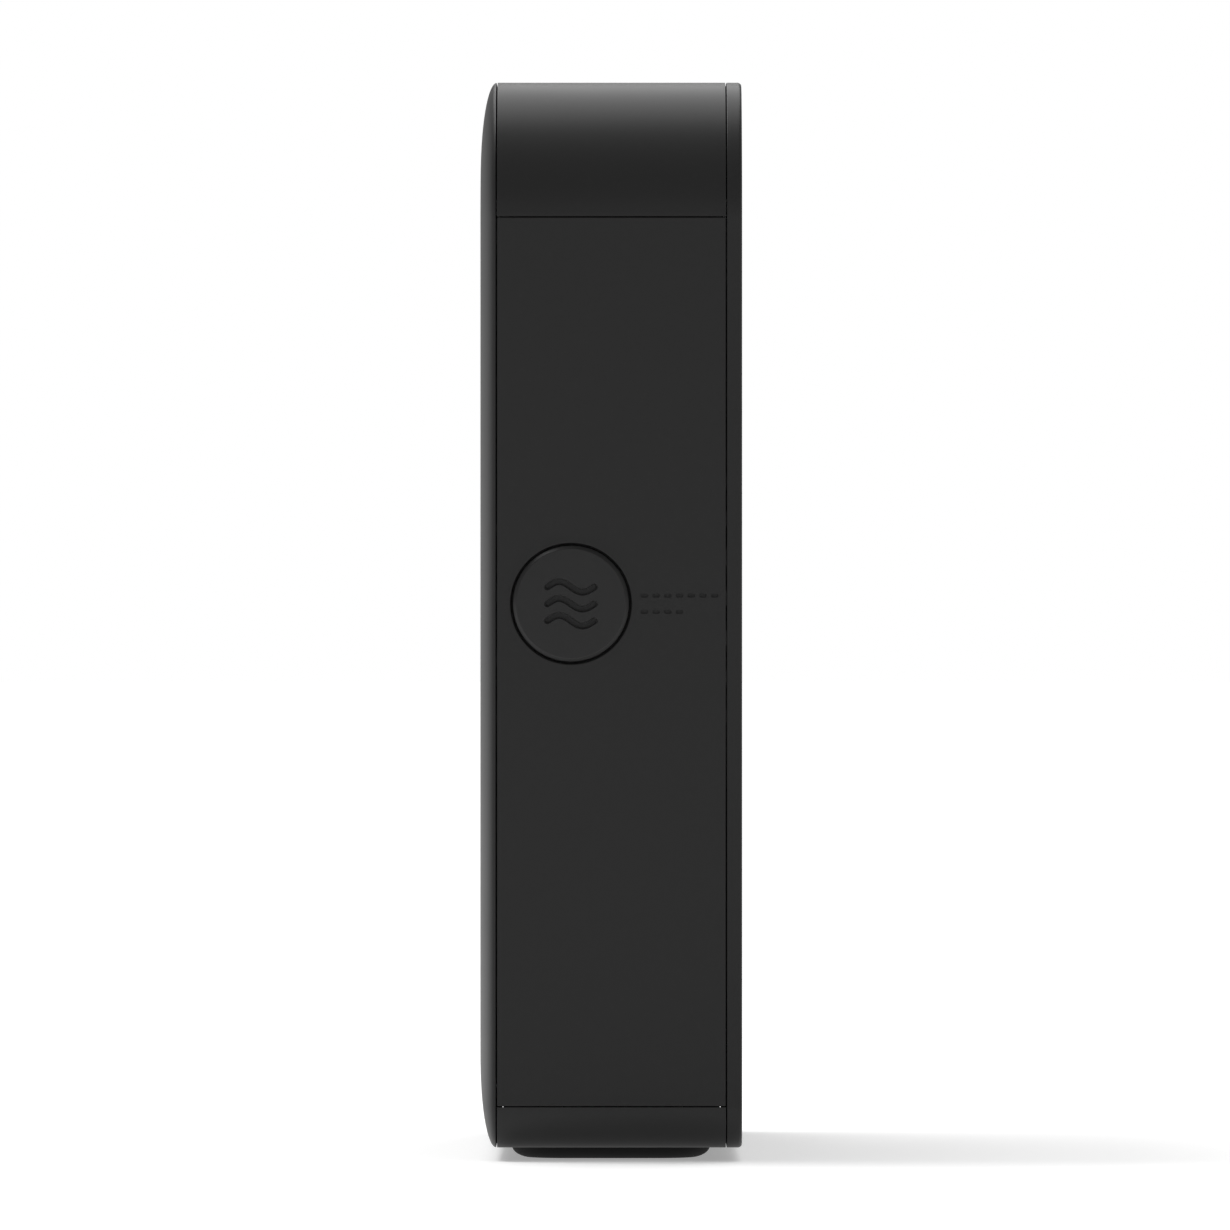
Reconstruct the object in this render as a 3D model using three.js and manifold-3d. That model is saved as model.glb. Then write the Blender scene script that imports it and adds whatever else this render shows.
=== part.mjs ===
// Desk fan: a round head tilts on two pivots inside an upright frame, in millimetres, +Z up.
// The origin is the middle of the footprint, on the surface that the fan stands on.
// The air leaves along -X, and the speed knob is on the -Y side.
import * as THREE from "three";
import { mergeVertices } from "three/addons/utils/BufferGeometryUtils.js";
import Module from "manifold-3d";

const wasm = await Module();
wasm.setup();

// ---- Driving dimensions: frame ----
const FRAME_DEPTH = 84;
const SIDE_BAR = 37; // frame width beside the opening
const TOP_BAR = 37; // frame height above the opening
const BOTTOM_BAR = 43.4; // frame height below the opening
const FOOT_HEIGHT = 4.2; // what the feet lift the frame by
const TOP_CORNER_R = 44.2;
const BOTTOM_CORNER_R = 13.4;
const FRONT_LIP = 5.2; // depth of the front cover behind its face
const REAR_LIP = 4.9;
const CROWN_WIDTH = 30; // width of the front cover's soft slope
const REAR_EDGE_R = 1.2;
const WALL = 2.5;

// ---- Driving dimensions: head ----
const HEAD_R = 127.7;
const PIVOT_FROM_FRONT = 29.2; // from the frame's front face to the tilt axis
const HEAD_INSET = 0.4; // how far the head stays inside the frame's faces
const TILT_GAP = 2.3; // between the head's swing and the opening
const GRILLE_RISE = 6.8; // how far the grille stands ahead of the ring
const RING_DEPTH = 9.3; // from the ring's front edge to the parting line
const RING_LIP = 6.1; // radial width of the ring's front face and its rounded edge
const RING_ROUNDING = 4.2; // how far in that edge is rounded
const GRILLE_RIM = 5; // radial width of the grille's outer rim
const VANE_COUNT = 36;
const VANE_DEPTH = 4;
const VANE_THICKNESS = 2;
const HUB_DISC_R = 28;
const BADGE_R = 22;
const SLOT_COUNT = 48;
const SLOT_SHARE = 0.62; // slot width as a share of the slot pitch
const SLOT_START = 2; // behind the tilt axis
const SLOT_START_AT_PIVOT = 14;
const SLOT_INNER_R = 50; // where the slots end on the rear dome
const SHELL_FLAT_R = 71.4; // radius where the rear dome turns flat
const SHELL_TAPER_END = 12.8; // behind the tilt axis, where the rear corner begins
const SHELL_TAPER = 1.3; // radius lost between the ring and the rear corner
const SHELL_CORNER_POWER = 2.3; // 2 is an ellipse, more is squarer
const SHELL_TWIST_DEG = 14; // turn of the ribs between the rear corner and the dome
const MOTOR_PLATE = 5; // thickness of the dome where the motor is screwed on

// ---- Driving dimensions: drive ----
const MOTOR_R = 42;
const MOTOR_LENGTH = 33;
const MOTOR_END_PLATE = 6;
const BEARING_R = 7.7;
const BEARING_WIDTH = 5;
const SHAFT_R = 3;
const BLADE_COUNT = 5;
const BLADE_TIP_GAP = 12; // between the blade tips and the shell's inner wall
const BLADE_THICKNESS = 2;
const FAN_HUB_R = 36;
const FAN_GAP = 4; // axial clearance before and behind the fan

// ---- Driving dimensions: pivots and controls ----
const PIN_R = 6;
const PIN_BORE_R = 3.5;
const PIN_LENGTH = 16; // outside the opening
const PIN_HEAD_R = 10;
const BOSS_LENGTH = 10;
const BOSS_R = 15;
const BUSH_WALL = 2.4;
const BUSH_FLANGE_R = 12;
const KNOB_R = 18.55;
const KNOB_PROUD = 2;
const KNOB_EDGE = 1;
const KNOB_POCKET = 5.5; // depth of the knob's pocket in the panel
const POCKET_WALL = 1.5;
const KNOB_GAP = 0.6;
const SPINDLE_R = 3;
const BOARD_THICKNESS = 1.6;
const FOOT_LENGTH = 64;
const FOOT_WIDTH = 36;
const FOOT_RECESS = 1;
const FOOT_Y = 118; // from the middle to each foot
const POST_INSET = 26; // from the frame's edges to each screw post
const POST_R = 5;
const SCREW_R = 1.5;
const SCREW_HEAD_R = 3.2;
const SCREW_HEAD = 1.8;
const INLET_WIDTH = 24;
const INLET_HEIGHT = 15;
const INLET_DEPTH = 16;
const SOCKET_WIDTH = 19;
const SOCKET_HEIGHT = 9;
const INLET_PIN_R = 1.2;
const INLET_PIN_PITCH = 8.6;

// ---- Clearances and mesh steps ----
const SEAM = 0.3; // between pieces that touch
const RUNNING = 0.1; // radial play of a pin or shaft
const ROUND = 48; // sides of a large circle
const KNOB_ROUND = 36;
const SMALL_ROUND = 16;
const PIN_ROUND = 24;
const SCREW_ROUND = 8;
const CORNER_STEPS = 5;
const CROWN_STEPS = 4;

// ---- Sizes that follow ----
const FRONT_X = -FRAME_DEPTH / 2;
const REAR_X = FRAME_DEPTH / 2;
const FRONT_SEAM_X = FRONT_X + FRONT_LIP;
const REAR_SEAM_X = REAR_X - REAR_LIP;
const PIVOT_X = FRONT_X + PIVOT_FROM_FRONT;
// From here to SWING_R lengths along the head are measured back from the tilt axis.
const HEAD_FRONT = HEAD_INSET - PIVOT_FROM_FRONT;
const HEAD_REAR = FRAME_DEPTH - PIVOT_FROM_FRONT - HEAD_INSET;
const RING_FRONT = HEAD_FRONT + GRILLE_RISE;
const PARTING = RING_FRONT + RING_DEPTH;
const ringOutside = [
  [PARTING, HEAD_R - 0.3],
  [PARTING - 3.1, HEAD_R],
  [RING_FRONT + 2.2, HEAD_R - 0.5],
  [RING_FRONT + 0.6, HEAD_R - 2.1],
  [RING_FRONT, HEAD_R - RING_ROUNDING],
];
const SWING_R = Math.max(...ringOutside.map(([x, r]) => Math.hypot(x, r)));
const OPENING_R = SWING_R + TILT_GAP;
const HALF_WIDTH = OPENING_R + SIDE_BAR;
const PIVOT_Z = FOOT_HEIGHT + BOTTOM_BAR + OPENING_R;
const FRAME_TOP = PIVOT_Z + OPENING_R + TOP_BAR;
const TOP_SEAM_Z = FRAME_TOP - TOP_CORNER_R;
const BOTTOM_SEAM_Z = FOOT_HEIGHT + BOTTOM_CORNER_R;
const PANEL_INSIDE = HALF_WIDTH - WALL;
const POCKET_BACK = HALF_WIDTH - KNOB_POCKET - POCKET_WALL;
const PIN_END = OPENING_R + PIN_LENGTH;
const SHELL_INSIDE_R = HEAD_R - SHELL_TAPER - WALL;
const MOTOR_REAR = HEAD_REAR - MOTOR_PLATE - SEAM;
const MOTOR_FRONT = MOTOR_REAR - MOTOR_LENGTH;
const FAN_FRONT = HEAD_FRONT + VANE_DEPTH + FAN_GAP;
const FAN_REAR = MOTOR_FRONT - FAN_GAP;
const BLADE_TIP_R = SHELL_INSIDE_R - BLADE_TIP_GAP;

// ---- Finishes ----
const finish = (color, roughness, metalness = 0) =>
  new THREE.MeshStandardMaterial({ color, roughness, metalness });
const charcoal = () => finish(0x2c2c2d, 0.45);
const headGrey = () => finish(0x353435, 0.5);
const blackPlastic = () => finish(0x151516, 0.6);
const rubber = () => finish(0x0d0d0e, 0.85);
const steel = () => finish(0xa9abae, 0.35, 1);
const nylon = () => finish(0xd8d6cf, 0.55);
const board = () => finish(0x1f4a33, 0.6);
const copper = () => finish(0x9a5a34, 0.4, 0.8);
const castAluminium = () => finish(0xb4b4b6, 0.45, 1);

// ---- Solids ----
// A closed geometry as a manifold solid that faces outwards.
function solidOf(geometry) {
  const bare = geometry.index ? geometry.toNonIndexed() : geometry.clone();
  bare.deleteAttribute("normal");
  bare.deleteAttribute("uv");
  const merged = mergeVertices(bare, 1e-4);
  const triVerts = new Uint32Array(merged.index.array);
  const vertProperties = merged.attributes.position.array;
  const made = new wasm.Manifold(new wasm.Mesh({ numProp: 3, vertProperties, triVerts }));
  if (made.volume() > 0) return made;
  for (let i = 0; i < triVerts.length; i += 3) triVerts.subarray(i, i + 3).reverse();
  return new wasm.Manifold(new wasm.Mesh({ numProp: 3, vertProperties, triVerts }));
}

// A piece turned about X from [x, radius] points: it starts and ends on the axis, or closes on itself.
function turned(profile, sides = ROUND, startAngle = 0) {
  const points = profile.map(([x, r]) => new THREE.Vector2(r, x));
  const onAxis = profile[0][1] === 0 && profile[profile.length - 1][1] === 0;
  if (!onAxis) points.push(points[0].clone());
  const lathe = new THREE.LatheGeometry(points, sides, startAngle);
  return solidOf(lathe.rotateZ(-Math.PI / 2));
}

// The same, turned about the Y axis from [y, radius] points, and moved to x, z.
function turnedY(profile, x, z, sides = PIN_ROUND) {
  const points = profile.map(([y, r]) => new THREE.Vector2(r, y));
  const onAxis = profile[0][1] === 0 && profile[profile.length - 1][1] === 0;
  if (!onAxis) points.push(points[0].clone());
  return solidOf(new THREE.LatheGeometry(points, sides).translate(x, 0, z));
}

// A round bar along X, or along Y, between two places.
const barX = (x0, x1, r, y = 0, z = 0, sides = SCREW_ROUND) =>
  shifted(turned([[x0, 0], [x0, r], [x1, r], [x1, 0]], sides), 0, y, z);
const barY = (y0, y1, r, x = 0, z = 0, sides = PIN_ROUND) =>
  turnedY([[y0, 0], [y0, r], [y1, r], [y1, 0]], x, z, sides);

// A box between two corners.
function box([x0, y0, z0], [x1, y1, z1]) {
  const geometry = new THREE.BoxGeometry(x1 - x0, y1 - y0, z1 - z0);
  return solidOf(geometry.translate((x0 + x1) / 2, (y0 + y1) / 2, (z0 + z1) / 2));
}

// A solid through rings of points that match one to one; outline is any ring drawn flat.
function loft(rings, outline) {
  const count = outline.length;
  const flat = outline.map(([u, v]) => new THREE.Vector2(u, v));
  const clockwise = THREE.ShapeUtils.isClockWise(flat);
  const capFaces = THREE.ShapeUtils.triangulateShape(flat, []).map(([a, b, c]) =>
    clockwise ? [a, c, b] : [a, b, c],
  );
  const corner = (ring, i) => rings[ring][i % count];
  const faces = [];
  for (const [a, b, c] of capFaces) {
    faces.push(corner(0, a), corner(0, c), corner(0, b));
    faces.push(...[a, b, c].map((i) => corner(rings.length - 1, i)));
  }
  for (let k = 0; k + 1 < rings.length; k++) {
    for (let i = 0; i < count; i++) {
      faces.push(corner(k, i), corner(k, i + 1), corner(k + 1, i + 1));
      faces.push(corner(k, i), corner(k + 1, i + 1), corner(k + 1, i));
    }
  }
  const geometry = new THREE.BufferGeometry();
  const position = new THREE.Float32BufferAttribute(faces.flat(), 3);
  return solidOf(geometry.setAttribute("position", position));
}

const joinAll = (solids) => solids.reduce((whole, piece) => whole.add(piece));

// A copy of a solid placed by a three.js matrix; a mirroring matrix turns its faces round.
function placed(solid, matrix) {
  const { vertProperties, triVerts } = solid.getMesh();
  const position = new THREE.BufferAttribute(vertProperties, 3).applyMatrix4(matrix);
  if (matrix.determinant() < 0) {
    for (let i = 0; i < triVerts.length; i += 3) triVerts.subarray(i, i + 3).reverse();
  }
  const shape = { numProp: 3, vertProperties: position.array, triVerts };
  return new wasm.Manifold(new wasm.Mesh(shape));
}

const shifted = (solid, x, y, z) => placed(solid, new THREE.Matrix4().makeTranslation(x, y, z));
const mirrorY = (side, solid) =>
  side < 0 ? solid : placed(solid, new THREE.Matrix4().makeScale(1, -1, 1));

// A solid as a named mesh.
function meshOf(name, solid, material) {
  const { vertProperties, triVerts, numProp } = solid.getMesh();
  const geometry = new THREE.BufferGeometry();
  const position = new Float32Array((vertProperties.length / numProp) * 3);
  for (let i = 0; i < position.length / 3; i++) {
    position.set(vertProperties.subarray(i * numProp, i * numProp + 3), i * 3);
  }
  geometry.setAttribute("position", new THREE.BufferAttribute(position, 3));
  geometry.setIndex(new THREE.BufferAttribute(triVerts, 1));
  const mesh = new THREE.Mesh(geometry, material);
  mesh.name = name;
  return mesh;
}

// ---- Frame outline ----
// The frame's outline seen along X and moved inwards by inset, as [y, z] points.
function frameOutline(inset) {
  const side = HALF_WIDTH - inset;
  const top = FRAME_TOP - inset;
  const bottom = FOOT_HEIGHT + inset;
  const topR = Math.max(TOP_CORNER_R - inset, WALL);
  const bottomR = Math.max(BOTTOM_CORNER_R - inset, WALL);
  const corners = [
    [side - topR, top - topR, topR],
    [topR - side, top - topR, topR],
    [bottomR - side, bottom + bottomR, bottomR],
    [side - bottomR, bottom + bottomR, bottomR],
  ];
  return corners.flatMap(([y, z, r], quarter) =>
    Array.from({ length: CORNER_STEPS + 1 }, (_, i) => {
      const angle = ((quarter + i / CORNER_STEPS) * Math.PI) / 2;
      return [y + r * Math.cos(angle), z + r * Math.sin(angle)];
    }),
  );
}

// A solid of that outline through [x, inset] stations.
function frameBlock(stations) {
  const rings = stations.map(([x, inset]) => frameOutline(inset).map(([y, z]) => [x, y, z]));
  return loft(rings, frameOutline(0));
}

// A crown that rises from one plane to another, along a quarter of an ellipse.
function crown(baseX, topX, inset, width) {
  const stations = Array.from({ length: CROWN_STEPS + 1 }, (_, i) => {
    const angle = (i / CROWN_STEPS) * (Math.PI / 2);
    return [baseX + (topX - baseX) * Math.sin(angle), inset + width * (1 - Math.cos(angle))];
  });
  return frameBlock(stations);
}

const opening = (x0, x1, r) => barX(x0, x1, r, 0, PIVOT_Z, ROUND);
const postPlaces = [-1, 1].flatMap((side) => [
  [side * (HALF_WIDTH - POST_INSET), FRAME_TOP - POST_INSET],
  [side * (HALF_WIDTH - POST_INSET), FOOT_HEIGHT + POST_INSET],
]);

// ---- Covers ----
const COVER_INSIDE_FRONT = FRONT_X + WALL;
const COVER_INSIDE_REAR = REAR_X - WALL;
const SCREW_TIP_X = COVER_INSIDE_REAR - 12;

function frontCover() {
  const shell = crown(FRONT_SEAM_X, FRONT_X, 0, CROWN_WIDTH);
  const inside = crown(FRONT_SEAM_X + WALL, COVER_INSIDE_FRONT, WALL, CROWN_WIDTH);
  const collar = opening(COVER_INSIDE_FRONT - WALL / 2, FRONT_SEAM_X, OPENING_R + WALL);
  const postEnd = COVER_INSIDE_REAR - SEAM;
  const postStart = COVER_INSIDE_FRONT - WALL / 2;
  const posts = postPlaces.map(([y, z]) => barX(postStart, postEnd, POST_R, y, z));
  const bores = postPlaces.map(([y, z]) =>
    barX(SCREW_TIP_X - 1, postEnd + 1, SCREW_R + SEAM, y, z),
  );
  return joinAll([shell.subtract(inside), collar, ...posts])
    .subtract(joinAll(bores))
    .subtract(opening(FRONT_X - 1, FRONT_SEAM_X + 1, OPENING_R));
}

const INLET_Z = FOOT_HEIGHT + BOTTOM_BAR / 2;
const inletBlock = (x0, x1, grow) =>
  box(
    [x0, -INLET_WIDTH / 2 - grow, INLET_Z - INLET_HEIGHT / 2 - grow],
    [x1, INLET_WIDTH / 2 + grow, INLET_Z + INLET_HEIGHT / 2 + grow],
  );

function rearCover() {
  const shell = frameBlock([
    [REAR_SEAM_X, 0],
    [REAR_X - REAR_EDGE_R, 0],
    [REAR_X - REAR_EDGE_R * 0.3, REAR_EDGE_R * 0.3],
    [REAR_X, REAR_EDGE_R],
  ]);
  const inside = frameBlock([
    [REAR_SEAM_X - 1, WALL],
    [COVER_INSIDE_REAR, WALL],
  ]);
  const collar = opening(REAR_SEAM_X, COVER_INSIDE_REAR + WALL / 2, OPENING_R + WALL);
  const holes = postPlaces.flatMap(([y, z]) => [
    barX(REAR_SEAM_X, REAR_X + 1, SCREW_R + SEAM, y, z),
    barX(REAR_X - SCREW_HEAD, REAR_X + 1, SCREW_HEAD_R + SEAM, y, z),
  ]);
  return shell
    .subtract(inside)
    .add(collar)
    .subtract(joinAll(holes))
    .subtract(inletBlock(REAR_SEAM_X, REAR_X + 1, SEAM))
    .subtract(opening(REAR_SEAM_X - 1, REAR_X + 1, OPENING_R));
}

// ---- Band between the covers: a top cap, two side panels and a bottom cap ----
const BAND_X0 = FRONT_SEAM_X + SEAM;
const BAND_X1 = REAR_SEAM_X - SEAM;
const WIDE = 2 * HALF_WIDTH;

function band() {
  const outside = frameBlock([
    [BAND_X0, 0],
    [BAND_X1, 0],
  ]);
  const inside = frameBlock([
    [BAND_X0 - 1, WALL],
    [BAND_X1 + 1, WALL],
  ]);
  return outside.subtract(inside);
}

const slab = (z0, z1) => box([FRONT_X, -WIDE, z0], [REAR_X, WIDE, z1]);
const topCap = () => band().intersect(slab(TOP_SEAM_Z + SEAM / 2, 2 * FRAME_TOP));

// The pocket that holds the knob, or the plain cap on the other side.
function sidePanel(side) {
  const half = box([FRONT_X, -WIDE, 0], [REAR_X, 0, FRAME_TOP]);
  const strip = band().intersect(slab(BOTTOM_SEAM_Z + SEAM / 2, TOP_SEAM_Z - SEAM / 2));
  const pocketR = KNOB_R + KNOB_GAP;
  const cup = barY(-PANEL_INSIDE - WALL / 2, -POCKET_BACK, pocketR + POCKET_WALL, PIVOT_X, PIVOT_Z);
  const floor = -POCKET_BACK - POCKET_WALL;
  const hollow = barY(-HALF_WIDTH - 1, floor, pocketR, PIVOT_X, PIVOT_Z, KNOB_ROUND);
  const bore = barY(-HALF_WIDTH, -POCKET_BACK + 1, SPINDLE_R + SEAM, PIVOT_X, PIVOT_Z);
  return mirrorY(side, strip.intersect(half).add(cup).subtract(hollow).subtract(bore));
}

// A stadium outline along X: [x, y] points.
function stadium(length, width, inset) {
  const r = width / 2 - inset;
  const reach = (length - width) / 2;
  return Array.from({ length: SMALL_ROUND + 2 }, (_, i) => {
    const half = i <= SMALL_ROUND / 2 ? 1 : -1;
    const step = half > 0 ? i : i - 1;
    const angle = (step / SMALL_ROUND) * 2 * Math.PI - Math.PI / 2;
    return [half * reach + r * Math.cos(angle), r * Math.sin(angle)];
  });
}

function stadiumBlock(length, width, stations) {
  const rings = stations.map(([z, inset]) =>
    stadium(length, width, inset).map(([x, y]) => [x, y, z]),
  );
  return loft(rings, stadium(length, width, 0));
}

const footBlock = (side, stations) =>
  shifted(stadiumBlock(FOOT_LENGTH, FOOT_WIDTH, stations), 0, side * FOOT_Y, 0);

const POWER_BOARD = { x: 24, y0: 26, y1: 92, z: FOOT_HEIGHT + WALL + 2.5 };
const standoffPlaces = [-1, 1].flatMap((end) => [
  [end * (POWER_BOARD.x - 4), POWER_BOARD.y0 + 4],
  [end * (POWER_BOARD.x - 4), POWER_BOARD.y1 - 4],
]);

function bottomCap() {
  const recesses = [-1, 1].map((side) =>
    footBlock(side, [
      [FOOT_HEIGHT - 1, -SEAM],
      [FOOT_HEIGHT + FOOT_RECESS, -SEAM],
    ]),
  );
  const standoffs = standoffPlaces.map(([x, y]) =>
    solidOf(
      new THREE.CylinderGeometry(2.5, 2.5, POWER_BOARD.z - FOOT_HEIGHT - SEAM - WALL / 2, 12)
        .rotateX(Math.PI / 2)
        .translate(x, y, (POWER_BOARD.z - SEAM + FOOT_HEIGHT + WALL / 2) / 2),
    ),
  );
  return band()
    .intersect(slab(0, BOTTOM_SEAM_Z - SEAM / 2))
    .add(joinAll(standoffs))
    .subtract(joinAll(recesses));
}

const foot = (side) =>
  footBlock(side, [
    [0, 6.4],
    [0.5, 3.6],
    [1.4, 1.5],
    [2.6, 0.4],
    [FOOT_HEIGHT - SEAM, 0],
    [FOOT_HEIGHT + FOOT_RECESS - SEAM, 0],
  ]);

// ---- Liner: the round tunnel that carries the pivots ----
const BUSH_R = PIN_R + RUNNING + BUSH_WALL;
const RIB_OFFSET = 40; // above and below the tilt axis

function liner() {
  const tube = turned([
    [BAND_X0, OPENING_R + WALL],
    [BAND_X0, OPENING_R],
    [BAND_X1, OPENING_R],
    [BAND_X1, OPENING_R + WALL],
  ]);
  const bossEnd = OPENING_R + BOSS_LENGTH;
  const ribStart = Math.sqrt((OPENING_R + WALL / 2) ** 2 - RIB_OFFSET ** 2);
  const sides = [-1, 1].map((side) => {
    const boss = barY(-bossEnd, -OPENING_R + WALL, BOSS_R, PIVOT_X, PIVOT_Z, SMALL_ROUND);
    const ribs = [-1, 1].map((end) => {
      const z = PIVOT_Z + end * RIB_OFFSET;
      return box(
        [BAND_X0 + 8, -PANEL_INSIDE + SEAM, z - WALL / 2],
        [BAND_X1 - 8, -ribStart, z + WALL / 2],
      );
    });
    return mirrorY(side, joinAll([boss, ...ribs]));
  });
  const bores = barY(-WIDE, WIDE, BUSH_R + SEAM, PIVOT_X, PIVOT_Z);
  return joinAll([shifted(tube, 0, 0, PIVOT_Z), ...sides])
    .subtract(opening(FRONT_X, REAR_X, OPENING_R))
    .subtract(bores);
}

// ---- Pivots, all drawn on the -Y side ----
const FLANGE_OUT = Math.sqrt(OPENING_R ** 2 - BUSH_FLANGE_R ** 2) - SEAM;
const FLANGE_IN = HEAD_R - SHELL_TAPER + 1;

const bush = () =>
  turnedY(
    [
      [-FLANGE_IN, PIN_R + RUNNING],
      [-FLANGE_IN, BUSH_FLANGE_R],
      [-FLANGE_OUT, BUSH_FLANGE_R],
      [-FLANGE_OUT, BUSH_R],
      [-OPENING_R - BOSS_LENGTH, BUSH_R],
      [-OPENING_R - BOSS_LENGTH, PIN_R + RUNNING],
    ],
    PIVOT_X,
    PIVOT_Z,
  );

const ringOnPin = (y0, y1, r) =>
  turnedY([[-y0, PIN_R + SEAM], [-y0, r], [-y1, r], [-y1, PIN_R + SEAM]], 0, 0);

const WASHER = 1.5;
const CLIP = 2;
const WASHER_IN = OPENING_R + BOSS_LENGTH + SEAM;
const CLIP_IN = WASHER_IN + WASHER + SEAM;
const PIN_HEAD_OUT = Math.sqrt((SHELL_INSIDE_R - SEAM) ** 2 - PIN_HEAD_R ** 2) - SEAM;
const PIN_HEAD_IN = PIN_HEAD_OUT - 3.5;

const trunnion = () =>
  turnedY(
    [
      [-PIN_HEAD_IN, PIN_BORE_R],
      [-PIN_HEAD_IN, PIN_HEAD_R],
      [-PIN_HEAD_OUT, PIN_HEAD_R],
      [-PIN_HEAD_OUT, PIN_R],
      [-PIN_END + 0.5, PIN_R],
      [-PIN_END, PIN_R - 0.5],
      [-PIN_END, PIN_BORE_R],
    ],
    0,
    0,
  );

// ---- Controls ----
const BOARD_IN = PIN_END + 1.5;
const SWITCH_IN = BOARD_IN + BOARD_THICKNESS + SEAM;
const SWITCH_OUT = POCKET_BACK - SEAM;
const SWITCH_HALF = 10;
const KNOB_BACK = HALF_WIDTH - KNOB_POCKET + 0.5;
const KNOB_FACE = HALF_WIDTH + KNOB_PROUD;
const SPINDLE_OUT = KNOB_BACK + 4;

const knobDisc = (innerR) => [
  [-KNOB_BACK, innerR],
  [-KNOB_BACK, KNOB_R],
  [-KNOB_FACE + KNOB_EDGE, KNOB_R],
  [-KNOB_FACE + KNOB_EDGE * 0.3, KNOB_R - KNOB_EDGE * 0.3],
  [-KNOB_FACE, KNOB_R - KNOB_EDGE],
  [-KNOB_FACE, 0],
];

const speedKnob = () =>
  turnedY(
    [
      [-SPINDLE_OUT - SEAM, 0],
      [-SPINDLE_OUT - SEAM, SPINDLE_R + SEAM],
      ...knobDisc(SPINDLE_R + SEAM),
    ],
    PIVOT_X,
    PIVOT_Z,
    KNOB_ROUND,
  );

const pivotCap = () =>
  turnedY(
    [[-POCKET_BACK + 1, 0], [-POCKET_BACK + 1, SPINDLE_R], ...knobDisc(SPINDLE_R)],
    PIVOT_X,
    PIVOT_Z,
    KNOB_ROUND,
  );

const spindle = () => barY(-SPINDLE_OUT, -SWITCH_IN - 1, SPINDLE_R, PIVOT_X, PIVOT_Z);

const rotarySwitch = () =>
  box(
    [PIVOT_X - SWITCH_HALF, -SWITCH_OUT, PIVOT_Z - SWITCH_HALF],
    [PIVOT_X + SWITCH_HALF, -SWITCH_IN, PIVOT_Z + SWITCH_HALF],
  ).subtract(barY(-SWITCH_OUT - 1, -SWITCH_IN - 0.5, SPINDLE_R + RUNNING, PIVOT_X, PIVOT_Z));

const CONTROL_BOARD_HALF = RIB_OFFSET - WALL / 2 - SEAM;
const CHIP_ROOM = SWITCH_OUT - BOARD_IN - BOARD_THICKNESS; // from the board to the pocket's back

function controlBoard() {
  const plate = box(
    [PIVOT_X - 16, -BOARD_IN - BOARD_THICKNESS, PIVOT_Z - CONTROL_BOARD_HALF],
    [PIVOT_X + 34, -BOARD_IN, PIVOT_Z + CONTROL_BOARD_HALF],
  );
  const chips = [
    [18, -22, 12, 8, 0.3],
    [18, 16, 9, 14, 0.45],
  ].map(([x, z, width, height, share]) =>
    box(
      [
        PIVOT_X + x,
        -BOARD_IN - BOARD_THICKNESS - share * CHIP_ROOM,
        PIVOT_Z + z - height / 2,
      ],
      [PIVOT_X + x + width, -BOARD_IN - BOARD_THICKNESS / 2, PIVOT_Z + z + height / 2],
    ),
  );
  return joinAll([plate, ...chips]);
}

function powerBoard() {
  const top = POWER_BOARD.z + BOARD_THICKNESS;
  const plate = box(
    [-POWER_BOARD.x, POWER_BOARD.y0, POWER_BOARD.z],
    [POWER_BOARD.x, POWER_BOARD.y1, top],
  );
  const transformer = box([-16, 40, top - 0.5], [2, 60, top + 16]);
  const filter = box([8, 32, top - 0.5], [20, 44, top + 9]);
  const capacitor = solidOf(
    new THREE.CylinderGeometry(5, 5, 15, SMALL_ROUND).rotateX(Math.PI / 2).translate(12, 66, top + 7),
  );
  return joinAll([plate, transformer, filter, capacitor]);
}

// The mains inlet: a socket with two pins, open to the rear.
function powerInlet() {
  const face = REAR_X - 0.4;
  const back = face - INLET_DEPTH;
  const section = stadium(SOCKET_WIDTH, SOCKET_HEIGHT, 0);
  const socket = [back + 4, face + 1].map((x) => section.map(([y, z]) => [x, y, INLET_Z + z]));
  const pins = [-1, 1].map((side) =>
    barX(back + 3, face - 3, INLET_PIN_R, (side * INLET_PIN_PITCH) / 2, INLET_Z),
  );
  return inletBlock(back, face, 0).subtract(loft(socket, section)).add(joinAll(pins));
}

// A screw along X whose head faces the rear.
const screw = (headFace, tip) =>
  turned(
    [
      [headFace, 0],
      [headFace, SCREW_HEAD_R],
      [headFace - SCREW_HEAD + SEAM, SCREW_HEAD_R],
      [headFace - SCREW_HEAD + SEAM, SCREW_R],
      [tip, SCREW_R],
      [tip, 0],
    ],
    SCREW_ROUND,
  );

// ---- Head: ring, grille and rear shell, drawn about the tilt axis ----
const SEAT_R = HEAD_R - RING_LIP; // bore that holds the grille
const FLANGE_R = SEAT_R - GRILLE_RIM + 0.6;
const FLANGE_FRONT = RING_FRONT + 4;
const FLANGE_BACK = FLANGE_FRONT + 2;
const RING_BOSS_R = 5.2;
const RING_SCREW_R = SHELL_INSIDE_R + SHELL_TAPER - RING_BOSS_R + 0.2; // from the head's axis
const RING_SCREW_HEAD = PARTING + 9; // where a ring screw's head lies
const ringScrewPlaces = [45, 135, 225, 315].map((degrees) => {
  const angle = (degrees * Math.PI) / 180;
  return [RING_SCREW_R * Math.cos(angle), RING_SCREW_R * Math.sin(angle)];
});

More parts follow.
